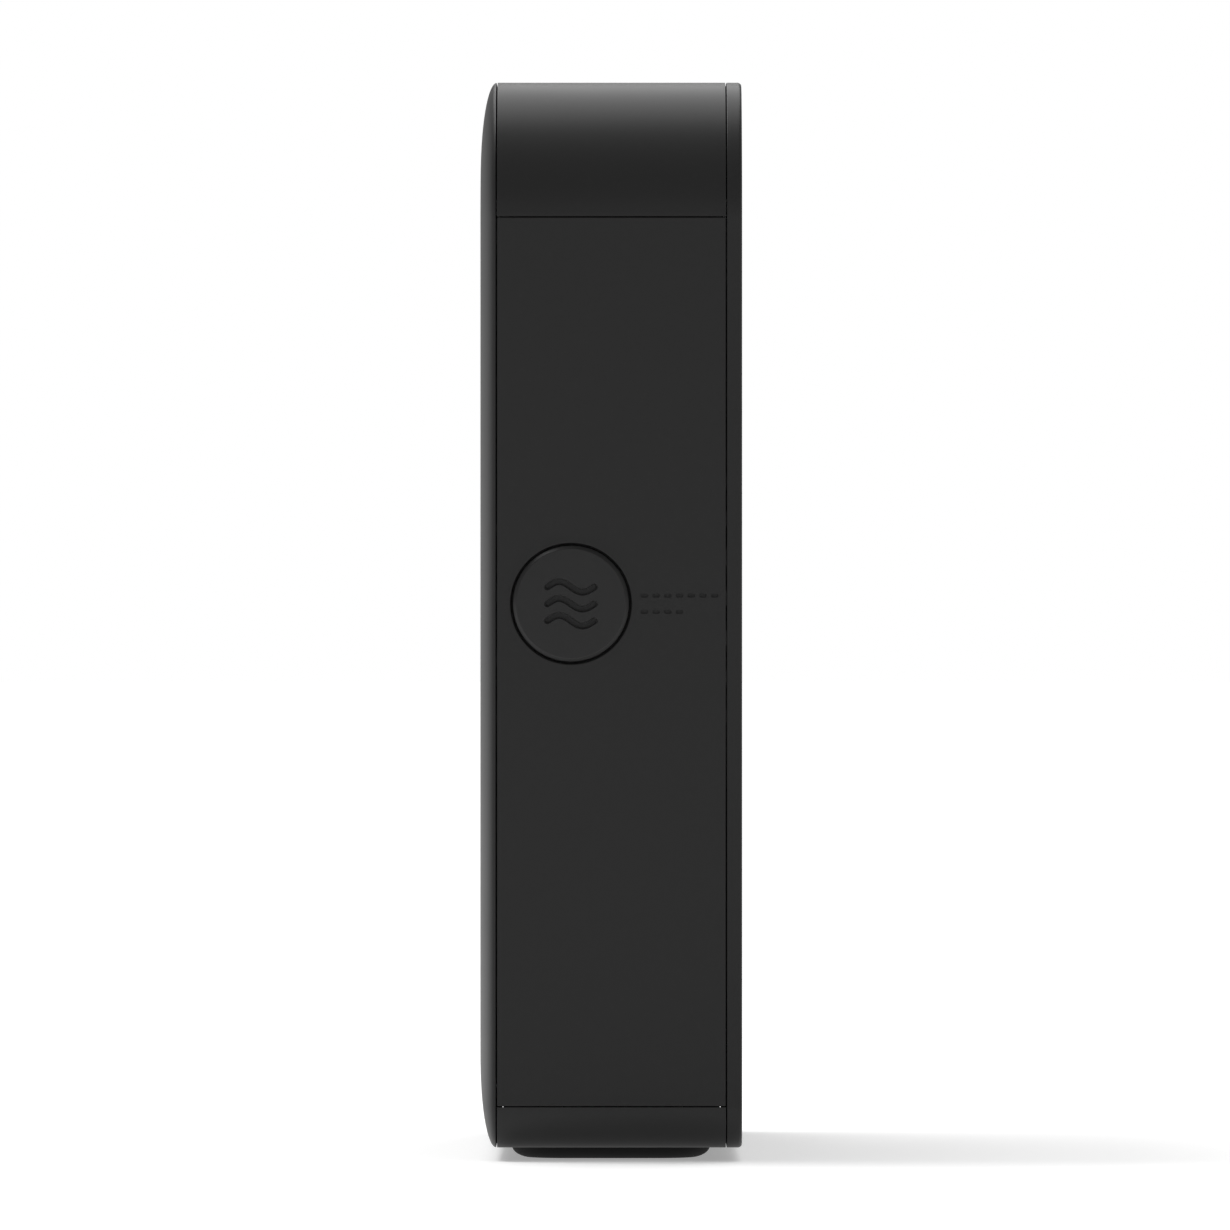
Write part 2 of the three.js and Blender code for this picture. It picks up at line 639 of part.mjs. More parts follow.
function frontRing() {
  const section = turned([
    ...ringOutside,
    [RING_FRONT, SEAT_R],
    [FLANGE_FRONT, SEAT_R],
    [FLANGE_FRONT, FLANGE_R],
    [FLANGE_BACK, FLANGE_R],
    [FLANGE_BACK, SHELL_INSIDE_R + SHELL_TAPER],
    [PARTING, SHELL_INSIDE_R + SHELL_TAPER],
  ]);
  const bosses = ringScrewPlaces.map(([y, z]) =>
    barX(FLANGE_BACK - 1, PARTING, RING_BOSS_R, y, z),
  );
  const bores = ringScrewPlaces.map(([y, z]) =>
    barX(FLANGE_BACK - 0.5, PARTING + 1, SCREW_R + SEAM, y, z),
  );
  return joinAll([section, ...bosses]).subtract(joinAll(bores));
}

// A vane's middle line as [radius, degrees], from its hooked outer end to the hub. Both ends of
// it lie anticlockwise of its bend, seen from the front.
const GRILLE_R = SEAT_R - SEAM;
const VANE_TOP_R = GRILLE_R - GRILLE_RIM;
const vaneLine = [
  [VANE_TOP_R + 1.5, 8.5],
  [VANE_TOP_R - 4, 2],
  [VANE_TOP_R - 14, 0],
  [VANE_TOP_R - 54, 6],
  [HUB_DISC_R - 1, 26],
];

function vane(turn) {
  const line = vaneLine.map(([r, degrees]) => {
    const angle = turn - (degrees * Math.PI) / 180;
    return new THREE.Vector2(r * Math.cos(angle), r * Math.sin(angle));
  });
  const edge = (side) =>
    line.map((point, i) => {
      const before = line[Math.max(i - 1, 0)];
      const after = line[Math.min(i + 1, line.length - 1)];
      const along = after.clone().sub(before).normalize();
      const across = new THREE.Vector2(-along.y, along.x);
      return point.clone().addScaledVector(across, (side * VANE_THICKNESS) / 2).toArray();
    });
  const outline = [...edge(1), ...edge(-1).reverse()];
  const ring = (x) => outline.map(([y, z]) => [x, y, z]);
  return loft([ring(HEAD_FRONT), ring(HEAD_FRONT + VANE_DEPTH)], outline);
}

function frontGrille() {
  const back = FLANGE_FRONT - SEAM;
  const rim = turned([
    [back, GRILLE_R],
    [HEAD_FRONT + 2.4, GRILLE_R - 0.2],
    [HEAD_FRONT + 0.8, GRILLE_R - 2],
    [HEAD_FRONT, VANE_TOP_R + 0.8],
    [HEAD_FRONT, VANE_TOP_R],
    [back, VANE_TOP_R],
  ]);
  const disc = barX(HEAD_FRONT, HEAD_FRONT + VANE_DEPTH, HUB_DISC_R, 0, 0, VANE_COUNT);
  const recess = barX(HEAD_FRONT - 1, HEAD_FRONT + 1.4, BADGE_R + SEAM, 0, 0, KNOB_ROUND);
  const vanes = Array.from({ length: VANE_COUNT }, (_, i) => vane((i / VANE_COUNT) * 2 * Math.PI));
  return joinAll([rim, disc, ...vanes]).subtract(recess);
}

const grilleCap = () =>
  turned([
    [HEAD_FRONT + 1.4 - SEAM, 0],
    [HEAD_FRONT + 1.4 - SEAM, BADGE_R],
    [HEAD_FRONT + 0.4, BADGE_R],
    [HEAD_FRONT, BADGE_R - 0.4],
    [HEAD_FRONT, 0],
  ], KNOB_ROUND);

// The shell's outer line from the ring to the dome: a slight taper, then a squarish quarter round.
const CORNER_BEGIN_R = HEAD_R - SHELL_TAPER;
function shellCorner(share) {
  const angle = (share * Math.PI) / 2;
  const power = 2 / SHELL_CORNER_POWER;
  return [
    SHELL_TAPER_END + (HEAD_REAR - SHELL_TAPER_END) * Math.sin(angle) ** power,
    SHELL_FLAT_R + (CORNER_BEGIN_R - SHELL_FLAT_R) * Math.cos(angle) ** power,
  ];
}
const CORNER_POINTS = 4;
const shellOutside = [
  [PARTING + SEAM, HEAD_R - 0.3],
  [SLOT_START + 5, HEAD_R - 0.9],
  ...Array.from({ length: CORNER_POINTS + 1 }, (_, i) => shellCorner(i / CORNER_POINTS)),
  [HEAD_REAR, SLOT_INNER_R],
];

// The same line moved in by a distance, point by point along the middle of its two normals.
function movedIn(line, distance) {
  return line.map(([x, r], i) => {
    const [x0, r0] = line[Math.max(i - 1, 0)];
    const [x1, r1] = line[Math.min(i + 1, line.length - 1)];
    const length = Math.hypot(x1 - x0, r1 - r0);
    return [x + (distance * (r1 - r0)) / length, r - (distance * (x1 - x0)) / length];
  });
}

// The radius of that line at one distance behind the tilt axis.
function shellRadius(x) {
  const next = shellOutside.findIndex(([at]) => at > x);
  const [x0, r0] = shellOutside[next - 1];
  const [x1, r1] = shellOutside[next];
  return r0 + ((r1 - r0) * (x - x0)) / (x1 - x0);
}

// Half the angle that a slot leaves open: its front end is round, and it starts later at the pivots.
const SLOT_PITCH = (2 * Math.PI) / SLOT_COUNT;
const SLOT_HALF = (SLOT_PITCH * SLOT_SHARE) / 2;
const SLOT_NOSE = HEAD_R * SLOT_HALF;

function slotStart(index) {
  const quarter = SLOT_COUNT / 4;
  const fromPivot = Math.abs((index % (2 * quarter)) - quarter);
  return fromPivot < 2 ? SLOT_START_AT_PIVOT : SLOT_START;
}

function slotHalfAngle(index, x) {
  const share = Math.min(Math.max((x - slotStart(index)) / SLOT_NOSE, 0.15), 1);
  return SLOT_HALF * Math.sqrt(1 - (1 - share) ** 2);
}

// The ribs turn about the head's axis, more the further they run in over the rear corner.
function ribTurn(r) {
  const share = Math.max((CORNER_BEGIN_R - r) / (CORNER_BEGIN_R - SLOT_INNER_R), 0);
  return ((SHELL_TWIST_DEG * Math.PI) / 180) * share;
}

// The shell's bowl: rows of points run along the shell's line, outside and inside, and each slot
// has one column of them on either edge. Where a slot is closed the columns are bridged.
function slottedBowl() {
  const starts = [SLOT_START, SLOT_START_AT_PIVOT];
  const noses = starts.flatMap((start) => [0, 1].map((share) => start + share * SLOT_NOSE));
  const clearOfNoses = (x) => noses.every((nose) => Math.abs(nose - x) > 2);
  const line = [
    shellOutside[0],
    ...noses.map((x) => [x, shellRadius(x)]),
    ...shellOutside.slice(1, -1).filter(([x]) => x > SLOT_START && clearOfNoses(x)),
    shellOutside[shellOutside.length - 1],
  ].sort((a, b) => a[0] - b[0] || b[1] - a[1]);
  const inner = movedIn(line, WALL);
  const last = line.length - 1;
  const columns = 2 * SLOT_COUNT;
  const point = (wall, row, column) => {
    const slot = Math.ceil(column / 2);
    const side = column % 2 ? -1 : 1;
    const [x, r] = wall[row];
    const angle =
      slot * SLOT_PITCH + side * slotHalfAngle(slot, line[row][0]) + ribTurn(line[row][1]);
    return [x, r * Math.sin(angle), r * Math.cos(angle)];
  };
  const isOpen = (row, column) =>
    column % 2 === 1 && row >= 0 && row < last && line[row][0] >= slotStart((column + 1) / 2) - 0.01;
  const faces = [];
  const quad = (a, b, c, d) => faces.push(a, b, c, a, c, d);
  const across = (row, column) =>
    quad(
      point(line, row, column),
      point(line, row, column + 1),
      point(inner, row, column + 1),
      point(inner, row, column),
    );
  const along = (row, column) =>
    quad(
      point(line, row, column),
      point(inner, row, column),
      point(inner, row + 1, column),
      point(line, row + 1, column),
    );
  const flipped = (make, ...places) => {
    const from = faces.length;
    make(...places);
    faces.push(...faces.splice(from).reverse());
  };
  for (let column = 0; column < columns; column++) {
    across(0, column);
    for (let row = 0; row < last; row++) {
      if (isOpen(row, column)) {
        flipped(along, row, column);
        along(row, column + 1);
        if (!isOpen(row - 1, column)) flipped(across, row, column);
        if (row === last - 1) across(last, column);
        continue;
      }
      quad(
        point(line, row, column),
        point(line, row + 1, column),
        point(line, row + 1, column + 1),
        point(line, row, column + 1),
      );
      quad(
        point(inner, row, column),
        point(inner, row, column + 1),
        point(inner, row + 1, column + 1),
        point(inner, row + 1, column),
      );
    }
    const [outerX, innerX] = [line[last][0], inner[last][0]];
    faces.push([outerX, 0, 0], point(line, last, column + 1), point(line, last, column));
    faces.push([innerX, 0, 0], point(inner, last, column), point(inner, last, column + 1));
  }
  const geometry = new THREE.BufferGeometry();
  const position = new THREE.Float32BufferAttribute(faces.flat(), 3);
  return solidOf(geometry.setAttribute("position", position));
}

const MOTOR_SCREW_R = 30; // from the head's axis to each motor screw
const motorScrewPlaces = [90, 210, 330].map((degrees) => {
  const angle = (degrees * Math.PI) / 180;
  return [MOTOR_SCREW_R * Math.cos(angle), MOTOR_SCREW_R * Math.sin(angle)];
});

function rearShell() {
  const padR = MOTOR_R + 3;
  const pad = turned([
    [HEAD_REAR - WALL / 2, 0],
    [HEAD_REAR - WALL / 2, padR + 1],
    [HEAD_REAR - WALL, padR + 1],
    [HEAD_REAR - MOTOR_PLATE, padR],
    [HEAD_REAR - MOTOR_PLATE, 0],
  ]);
  const bossEnd = RING_SCREW_HEAD - SCREW_HEAD;
  const bosses = ringScrewPlaces.map(([y, z]) =>
    barX(PARTING + SEAM, bossEnd, RING_BOSS_R, y, z),
  );
  const holes = [
    ...ringScrewPlaces.map(([y, z]) => barX(PARTING - 1, bossEnd + 1, SCREW_R + SEAM, y, z)),
    ...motorScrewPlaces.map(([y, z]) => barX(MOTOR_REAR, HEAD_REAR + 1, SCREW_R + SEAM, y, z)),
    ...motorScrewPlaces.map(([y, z]) =>
      barX(HEAD_REAR - SCREW_HEAD, HEAD_REAR + 1, SCREW_HEAD_R + SEAM, y, z),
    ),
    barY(-HEAD_R - 1, HEAD_R + 1, PIN_R + SEAM),
  ];
  return joinAll([slottedBowl(), pad, ...bosses]).subtract(joinAll(holes));
}

// ---- Motor ----
const MOTOR_INSIDE_R = MOTOR_R - 3;
const STATOR_R = MOTOR_INSIDE_R - SEAM;
const ROTOR_R = 19;
const CORE_FRONT = MOTOR_FRONT + MOTOR_END_PLATE + 2;
const CORE_REAR = MOTOR_REAR - MOTOR_END_PLATE - 2;

function motorHousing() {
  const seat = BEARING_R + SEAM;
  const can = turned([
    [MOTOR_FRONT, seat],
    [MOTOR_FRONT, MOTOR_R - 3],
    [MOTOR_FRONT + 3, MOTOR_R],
    [MOTOR_REAR, MOTOR_R],
    [MOTOR_REAR, seat],
    [MOTOR_REAR - MOTOR_END_PLATE, seat],
    [MOTOR_REAR - MOTOR_END_PLATE, MOTOR_INSIDE_R],
    [MOTOR_FRONT + MOTOR_END_PLATE, MOTOR_INSIDE_R],
    [MOTOR_FRONT + MOTOR_END_PLATE, seat],
  ], PIN_ROUND);
  const holes = motorScrewPlaces.map(([y, z]) =>
    barX(MOTOR_REAR - MOTOR_END_PLATE + 0.5, MOTOR_REAR + 1, SCREW_R + SEAM, y, z),
  );
  return can.subtract(joinAll(holes));
}

const collarOnShaft = (x0, x1, inner, outer) =>
  turned([[x0, inner], [x0, outer], [x1, outer], [x1, inner]], PIN_ROUND);
const bearing = (x0) => collarOnShaft(x0, x0 + BEARING_WIDTH, SHAFT_R + RUNNING, BEARING_R);
const stator = () => collarOnShaft(CORE_FRONT, CORE_REAR, ROTOR_R + 0.5, STATOR_R);
const rotor = () => collarOnShaft(CORE_FRONT, CORE_REAR, SHAFT_R + SEAM, ROTOR_R);

// ---- Fan: shaft, blades and nut, which spin together ----
const SHAFT_FRONT = FAN_FRONT - 2;
const shaft = () =>
  barX(SHAFT_FRONT, MOTOR_REAR - 0.5, SHAFT_R, 0, 0, PIN_ROUND);

const bladeNut = () =>
  turned([
    [FAN_FRONT - 3.2, 0],
    [FAN_FRONT - 3.2, 5.5],
    [FAN_FRONT - 1.6, 8.5],
    [FAN_FRONT - SEAM, 8.5],
    [FAN_FRONT - SEAM, SHAFT_R + SEAM],
    [SHAFT_FRONT - SEAM, SHAFT_R + SEAM],
    [SHAFT_FRONT - SEAM, 0],
  ], SMALL_ROUND);

// A blade section is a thin curved plate, wider and flatter towards the tip.
function blade(turn) {
  const rootR = FAN_HUB_R - 1.5;
  const stations = 5;
  const chordSteps = 4;
  const depth = FAN_REAR - FAN_FRONT;
  const middleX = (FAN_FRONT + FAN_REAR) / 2;
  const place = (r, share, side) => {
    const outward = (r - rootR) / (BLADE_TIP_R - rootR);
    const halfSpan = (26 + 9 * outward - 10 * outward ** 3) * (Math.PI / 180);
    const halfDepth = (depth / 2) * (0.92 - 0.34 * outward);
    const sweep = -12 * (Math.PI / 180) * outward;
    const angle = turn + sweep + share * halfSpan;
    const camber = 0.16 * depth * (1 - share * share) * (1 - 0.3 * outward);
    const x = middleX + share * halfDepth + camber + (side * BLADE_THICKNESS) / 2;
    return [x, r * Math.sin(angle), r * Math.cos(angle)];
  };
  const rings = [];
  for (let k = 0; k <= stations; k++) {
    const r = rootR + ((BLADE_TIP_R - rootR) * k) / stations;
    const shares = Array.from({ length: chordSteps + 1 }, (_, i) => (2 * i) / chordSteps - 1);
    const front = shares.map((share) => place(r, share, -1));
    const back = shares.map((share) => place(r, share, 1));
    rings.push([...front, ...back.reverse()]);
  }
  const outline = rings[0].map((_, i) =>
    i <= chordSteps ? [i, 0] : [2 * chordSteps + 1 - i, 1],
  );
  return loft(rings, outline);
}

function fanBlades() {
  const nose = 6;
  const hub = turned([
    [FAN_FRONT, SHAFT_R + SEAM],
    [FAN_FRONT, FAN_HUB_R - 14],
    [FAN_FRONT + 2, FAN_HUB_R - 5],
    [FAN_FRONT + nose, FAN_HUB_R],
    [FAN_REAR, FAN_HUB_R],
    [FAN_REAR, FAN_HUB_R - WALL],
    [FAN_FRONT + nose + 1, FAN_HUB_R - WALL],
    [FAN_FRONT + 4, FAN_HUB_R - 9],
    [FAN_FRONT + 4, 8],
    [FAN_REAR, 8],
    [FAN_REAR, SHAFT_R + SEAM],
  ], PIN_ROUND);
  const blades = Array.from({ length: BLADE_COUNT }, (_, i) => blade((i / BLADE_COUNT) * 2 * Math.PI));
  return joinAll([hub, ...blades]);
}

// ---- Assembly ----
const fan = new THREE.Group();
const frame = new THREE.Group();
const head = new THREE.Group();
head.position.set(PIVOT_X, 0, PIVOT_Z);
fan.add(frame, head);

const add = (group, name, solid, material) => group.add(meshOf(name, solid, material));
const sides = [
  ["left", -1],
  ["right", 1],
];

add(frame, "front_cover", frontCover(), charcoal());
add(frame, "rear_cover", rearCover(), charcoal());
add(frame, "top_cap", topCap(), charcoal());
add(frame, "bottom_cap", bottomCap(), charcoal());
add(frame, "liner_ring", liner(), charcoal());
for (const [word, side] of sides) {
  add(frame, `side_panel_${word}`, sidePanel(side), charcoal());
  add(frame, `foot_${word}`, foot(side), rubber());
  add(frame, `pivot_bush_${word}`, mirrorY(side, bush()), nylon());
  const washer = shifted(ringOnPin(WASHER_IN, WASHER_IN + WASHER, BUSH_FLANGE_R), PIVOT_X, 0, PIVOT_Z);
  add(frame, `friction_washer_${word}`, mirrorY(side, washer), rubber());
  add(head, `pivot_pin_${word}`, mirrorY(side, trunnion()), steel());
  const clip = ringOnPin(CLIP_IN, CLIP_IN + CLIP, PIN_R + 4);
  add(head, `pivot_clip_${word}`, mirrorY(side, clip), steel());
}
postPlaces.forEach(([y, z], i) => {
  const made = shifted(screw(REAR_X - 0.2, SCREW_TIP_X), 0, y, z);
  add(frame, `cover_screw_${i + 1}`, made, steel());
});
add(frame, "pivot_cap", mirrorY(1, pivotCap()), charcoal());
add(frame, "power_inlet", powerInlet(), blackPlastic());
add(frame, "power_board", powerBoard(), board());
add(frame, "control_board", controlBoard(), board());
add(frame, "rotary_switch", rotarySwitch(), blackPlastic());
add(frame, "switch_spindle", spindle(), steel());
add(frame, "speed_knob", speedKnob(), charcoal());

add(head, "front_ring", frontRing(), headGrey());
add(head, "front_grille", frontGrille(), headGrey());
add(head, "grille_cap", grilleCap(), headGrey());
add(head, "rear_shell", rearShell(), headGrey());
ringScrewPlaces.forEach(([y, z], i) => {
  const made = shifted(screw(RING_SCREW_HEAD, FLANGE_BACK), 0, y, z);
  add(head, `ring_screw_${i + 1}`, made, steel());
});
motorScrewPlaces.forEach(([y, z], i) => {
  const made = shifted(screw(HEAD_REAR - 0.2, MOTOR_REAR - 4), 0, y, z);
  add(head, `motor_screw_${i + 1}`, made, steel());
});
add(head, "motor_housing", motorHousing(), castAluminium());
add(head, "motor_stator", stator(), copper());
const bearingInset = (MOTOR_END_PLATE - BEARING_WIDTH) / 2;
add(head, "motor_bearing_front", bearing(MOTOR_FRONT + bearingInset), steel());
add(head, "motor_bearing_rear", bearing(MOTOR_REAR - bearingInset - BEARING_WIDTH), steel());
add(head, "motor_rotor", rotor(), steel());
add(head, "motor_shaft", shaft(), steel());
add(head, "fan_blades", fanBlades(), blackPlastic());
add(head, "blade_nut", bladeNut(), blackPlastic());

export default fan;
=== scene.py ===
# %% [markdown]
# # A desk fan, piece by piece
# The fan is a round head that tilts inside an upright frame. A CAD model holds its sizes, its
# joints and its hidden works. This file gives every piece that shows its finished form and its
# material, around that model. The first cell loads it, and every place below is read from it.

# %% Load the CAD frame
import math

import bmesh
import bpy
from mathutils import Matrix, Vector


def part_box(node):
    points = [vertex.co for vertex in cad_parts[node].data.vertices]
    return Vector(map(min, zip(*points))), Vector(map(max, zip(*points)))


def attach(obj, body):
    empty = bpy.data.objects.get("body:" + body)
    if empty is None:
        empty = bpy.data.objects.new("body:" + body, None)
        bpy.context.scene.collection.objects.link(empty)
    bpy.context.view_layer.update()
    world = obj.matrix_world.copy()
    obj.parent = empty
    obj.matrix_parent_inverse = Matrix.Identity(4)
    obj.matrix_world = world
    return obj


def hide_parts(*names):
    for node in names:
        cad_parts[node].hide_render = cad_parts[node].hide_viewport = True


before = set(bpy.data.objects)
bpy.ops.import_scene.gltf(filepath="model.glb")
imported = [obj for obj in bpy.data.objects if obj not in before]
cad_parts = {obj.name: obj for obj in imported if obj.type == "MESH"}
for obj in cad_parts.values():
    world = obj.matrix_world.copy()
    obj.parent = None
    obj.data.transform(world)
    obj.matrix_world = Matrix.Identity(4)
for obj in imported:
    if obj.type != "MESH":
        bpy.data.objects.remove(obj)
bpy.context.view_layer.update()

# %% [markdown]
# ## Sizes
# Lengths are in metres, so a size in millimetres is written as a number times MM. The sizes that
# the CAD model fixes are read from its boxes, which keeps the two models in step.

# %% Sizes read from the CAD boxes
MM = 0.001
SEAM = 0.3 * MM  # gap between pieces that touch
WALL = 2.5 * MM  # thickness of the mouldings
EDGE = 0.35 * MM  # softening of a moulded edge
SAME_PLACE = 0.0005 * MM  # points closer than this are one
HAIR = 0.01 * MM  # what a corner's radius leaves of the side that it rounds
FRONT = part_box("front_cover")[0].x
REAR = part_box("rear_cover")[1].x
BAND_FRONT, BAND_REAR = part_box("top_cap")[0].x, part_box("top_cap")[1].x
BAND_DEPTH, BAND_MIDDLE = BAND_REAR - BAND_FRONT, (BAND_FRONT + BAND_REAR) / 2
FRONT_SEAM, REAR_SEAM = BAND_FRONT - SEAM, BAND_REAR + SEAM
HALF_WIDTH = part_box("side_panel_right")[1].y
FRAME_TOP, FRAME_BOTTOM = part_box("top_cap")[1].z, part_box("bottom_cap")[0].z
PANEL_TOP, PANEL_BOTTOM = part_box("side_panel_left")[1].z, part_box("side_panel_left")[0].z
TOP_CORNER_R = FRAME_TOP - PANEL_TOP - SEAM / 2
BOTTOM_CORNER_R = PANEL_BOTTOM - FRAME_BOTTOM - SEAM / 2
KNOB_LOW, KNOB_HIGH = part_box("speed_knob")
PIVOT_X, PIVOT_Z = (KNOB_LOW.x + KNOB_HIGH.x) / 2, (KNOB_LOW.z + KNOB_HIGH.z) / 2
KNOB_R = (KNOB_HIGH.x - KNOB_LOW.x) / 2
KNOB_FACE = -KNOB_LOW.y
OPENING_R = (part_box("liner_ring")[1].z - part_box("liner_ring")[0].z) / 2 - WALL
CENTRE = Vector((0, 0, PIVOT_Z))
HEAD = Vector((PIVOT_X, 0, PIVOT_Z))  # where the tilt axis and the fan's axis cross
print(f"opening radius {OPENING_R / MM:.2f}, tilt axis at x {PIVOT_X / MM:.2f}, z {PIVOT_Z / MM:.2f}")

# %% [markdown]
# ## Camera
# The fan is seen square from its knob side, level with the middle of the frame, through a long
# lens that flattens perspective. The lens follows from the height of the view and the distance.

# %% Camera
VIEW_HEIGHT = 393.6 * MM  # what the frame of the view covers at the near side
DISTANCE = 5.8
camera_data = bpy.data.cameras.new("camera")
camera_data.sensor_width = 36
near_side = DISTANCE - HALF_WIDTH
camera_data.lens = camera_data.sensor_width * near_side / VIEW_HEIGHT
camera_data.clip_end = 60
camera = bpy.data.objects.new("camera", camera_data)
camera.location = (1.3 * MM, -DISTANCE, 175 * MM)
camera.rotation_euler = (math.pi / 2, 0, 0)
bpy.context.scene.collection.objects.link(camera)
bpy.context.scene.camera = camera
print(f"lens {camera_data.lens:.0f} mm")

# %% [markdown]
# ## Loops, walls and fills
# A moulded cover is a skin of nearly even thickness. It could be a box with booleans, but the
# edges of a boolean are hard to round. Here each cover is a run of closed loops of edges: every
# loop is a rectangle with bevelled corners, or a circle. Neighbouring loops are bridged to make
# a wall, and a flat face is filled between its outer loop and the loops of its holes.

# %% Loops
FACE_X = Matrix.Rotation(math.pi / 2, 4, "Y")
FACE_Y = Matrix.Rotation(-math.pi / 2, 4, "X")
ROUND = 192  # sides of a circle as large as the opening


def edges_of(verts):
    """The edges between some vertices."""
    chosen = set(verts)
    return list({e for v in verts for e in v.link_edges if e.other_vert(v) in chosen})


def circle(bm, centre, radius, turn=FACE_X, sides=ROUND):
    """A circle of edges that faces along X, or the way that turn gives."""
    place = Matrix.Translation(centre) @ turn
    made = bmesh.ops.create_circle(bm, cap_ends=False, segments=sides, radius=radius, matrix=place)
    return edges_of(made["verts"])


def rounded(bm, corners, radii, segments):
    """A flat outline through some corners, each bevelled to its own radius."""
    standing = set(bm.faces)
    verts = [bm.verts.new(corner) for corner in corners]
    bm.faces.new(verts)
    for vert, radius in zip(verts, radii):
        if radius:
            bmesh.ops.bevel(
                bm, geom=[vert], offset=radius, affect="VERTICES", segments=segments, profile=0.5,
                material=-1,
            )
    (face,) = set(bm.faces) - standing
    edges = list(face.edges)
    bmesh.ops.delete(bm, geom=[face], context="FACES_ONLY")
    return edges


def bridge(bm, loops):
    """Walls between neighbouring loops."""
    for near, far in zip(loops, loops[1:]):
        bmesh.ops.bridge_loops(bm, edges=near + far)


def fill(bm, *loops):
    """A flat face between loops in one plane: the outer one first, then its holes."""
    edges = [edge for loop in loops for edge in loop]
    bmesh.ops.triangle_fill(bm, use_beauty=True, use_dissolve=False, edges=edges)


def outlined(bm, points):
    """A closed loop of edges through some points."""
    verts = [bm.verts.new(point) for point in points]
    return [bm.edges.new(pair) for pair in zip(verts, verts[1:] + verts[:1])]


def quarter(steps):
    """Angles from 0 to a quarter turn."""
    return [math.pi / 2 * step / steps for step in range(steps + 1)]


def rolled(radius, steps, inward=False):
    """(depth, inset) stations of a rounded edge, from its side to its face, or the other way."""
    turns = quarter(steps)
    stations = [(radius * (1 - math.sin(a)), radius * (1 - math.cos(a))) for a in turns]
    return stations[::-1] if inward else stations


def filleted(points, closed=False, steps=6):
    """A line through (a, b, radius) corners, each turned into an arc of its radius."""
    line = []
    for i, (a, b, radius) in enumerate(points):
        here = Vector((a, b))
        if radius == 0:
            line.append(here)
            continue
        back = (Vector(points[i - 1][:2]) - here).normalized()
        onward = (Vector(points[(i + 1) % len(points)][:2]) - here).normalized()
        half = back.angle(onward) / 2
        centre = here + (back + onward).normalized() * radius / math.sin(half)
        first = here + back * radius / math.tan(half) - centre
        last = here + onward * radius / math.tan(half) - centre
        sweep = first.angle_signed(last)
        for step in range(steps + 1):
            line.append(centre + Matrix.Rotation(-sweep * step / steps, 2) @ first)
    return line


# %% [markdown]
# ## Turned pieces
# Rings, discs, pins and bushes are all one profile turned about an axis. The spin operator makes
# them, with its last step merged into its first. A profile that ends on the axis closes there.

# %% Spin a profile
TURN_AXES = {"X": Vector((1, 0, 0)), "Y": Vector((0, 1, 0))}


def turned(bm, profile, centre=CENTRE, along="X", sides=ROUND, closed=False):
    """Spins (place along the axis, radius) points about X or Y through centre."""
    axis = TURN_AXES[along]
    verts = [bm.verts.new(Vector(centre) + axis * a + Vector((0, 0, r))) for a, r in profile]
    ends = verts[1:] + verts[:1] if closed else verts[1:]
    edges = [bm.edges.new(pair) for pair in zip(verts, ends)]
    before = set(bm.verts) - set(verts)
    bmesh.ops.spin(
        bm, geom=verts + edges, cent=centre, axis=axis, dvec=(0, 0, 0), angle=2 * math.pi,
        steps=sides, use_merge=True, use_normal_flip=False, use_duplicate=False,
    )
    made = [v for v in bm.verts if v not in before]
    bmesh.ops.remove_doubles(bm, verts=made, dist=SAME_PLACE)


# %% [markdown]
# ## Finishing a mesh
# Every piece ends the same way: doubles merged, faces turned outwards, edges marked sharp where
# two faces meet at a steep angle, then the material and the body that it moves with. A weighted
# normal keeps the large flat faces flat right up to their rounded edges.

# %% Turn a bmesh into a piece
def piece(name, bm, body, finish, slot, *stands_for, sharp_at=40):
    """Makes the finished object, rides it on its body and hides the CAD node it stands for."""
    bmesh.ops.remove_doubles(bm, verts=bm.verts, dist=SAME_PLACE)
    bmesh.ops.recalc_face_normals(bm, faces=bm.faces)
    for edge in bm.edges:
        edge.smooth = len(edge.link_faces) != 2 or edge.calc_face_angle(0) < math.radians(sharp_at)
    for face in bm.faces:
        face.smooth = True
    open_edges = sum(1 for edge in bm.edges if len(edge.link_faces) != 2)
    mesh = bpy.data.meshes.new(name)
    bm.to_mesh(mesh)
    volume = bm.calc_volume(signed=True)
    bm.free()
    mesh.materials.append(finish)
    made = bpy.data.objects.new(name, mesh)
    bpy.context.scene.collection.objects.link(made)
    made.modifiers.new("weighted", "WEIGHTED_NORMAL").keep_sharp = True
    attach(made, body)
    if stands_for:
        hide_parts(*stands_for)
    print(f"{name}: {len(mesh.polygons)} faces, {volume * 1e6:.1f} cm3, {open_edges} open edges")


# %% [markdown]
# ## Finishes
# A material is a small chain of sums: noise stretched to a scale, cut to a range, added to a
# roughness. Wiring Math nodes one by one hides that, so a Wire wraps a socket and turns Python's
# operators into nodes. Colours are mixed by a Mix node, because a Math node would turn them grey.

# %% Shader arithmetic
class Wire:
    """A number on its way through a material. Operators add Math nodes."""

    def __init__(self, recipe, socket):
        self.recipe, self.socket = recipe, socket

    def math(self, operation, *terms):
        return self.recipe.add("ShaderNodeMath", {"operation": operation}, dict(enumerate(terms)))

    def __add__(self, other):
        return self.math("ADD", self, other)

    def __sub__(self, other):
        return self.math("SUBTRACT", self, other)

    def __rsub__(self, other):
        return self.math("SUBTRACT", other, self)

    def __mul__(self, other):
        return self.math("MULTIPLY", self, other)

    __radd__ = __add__
    __rmul__ = __mul__


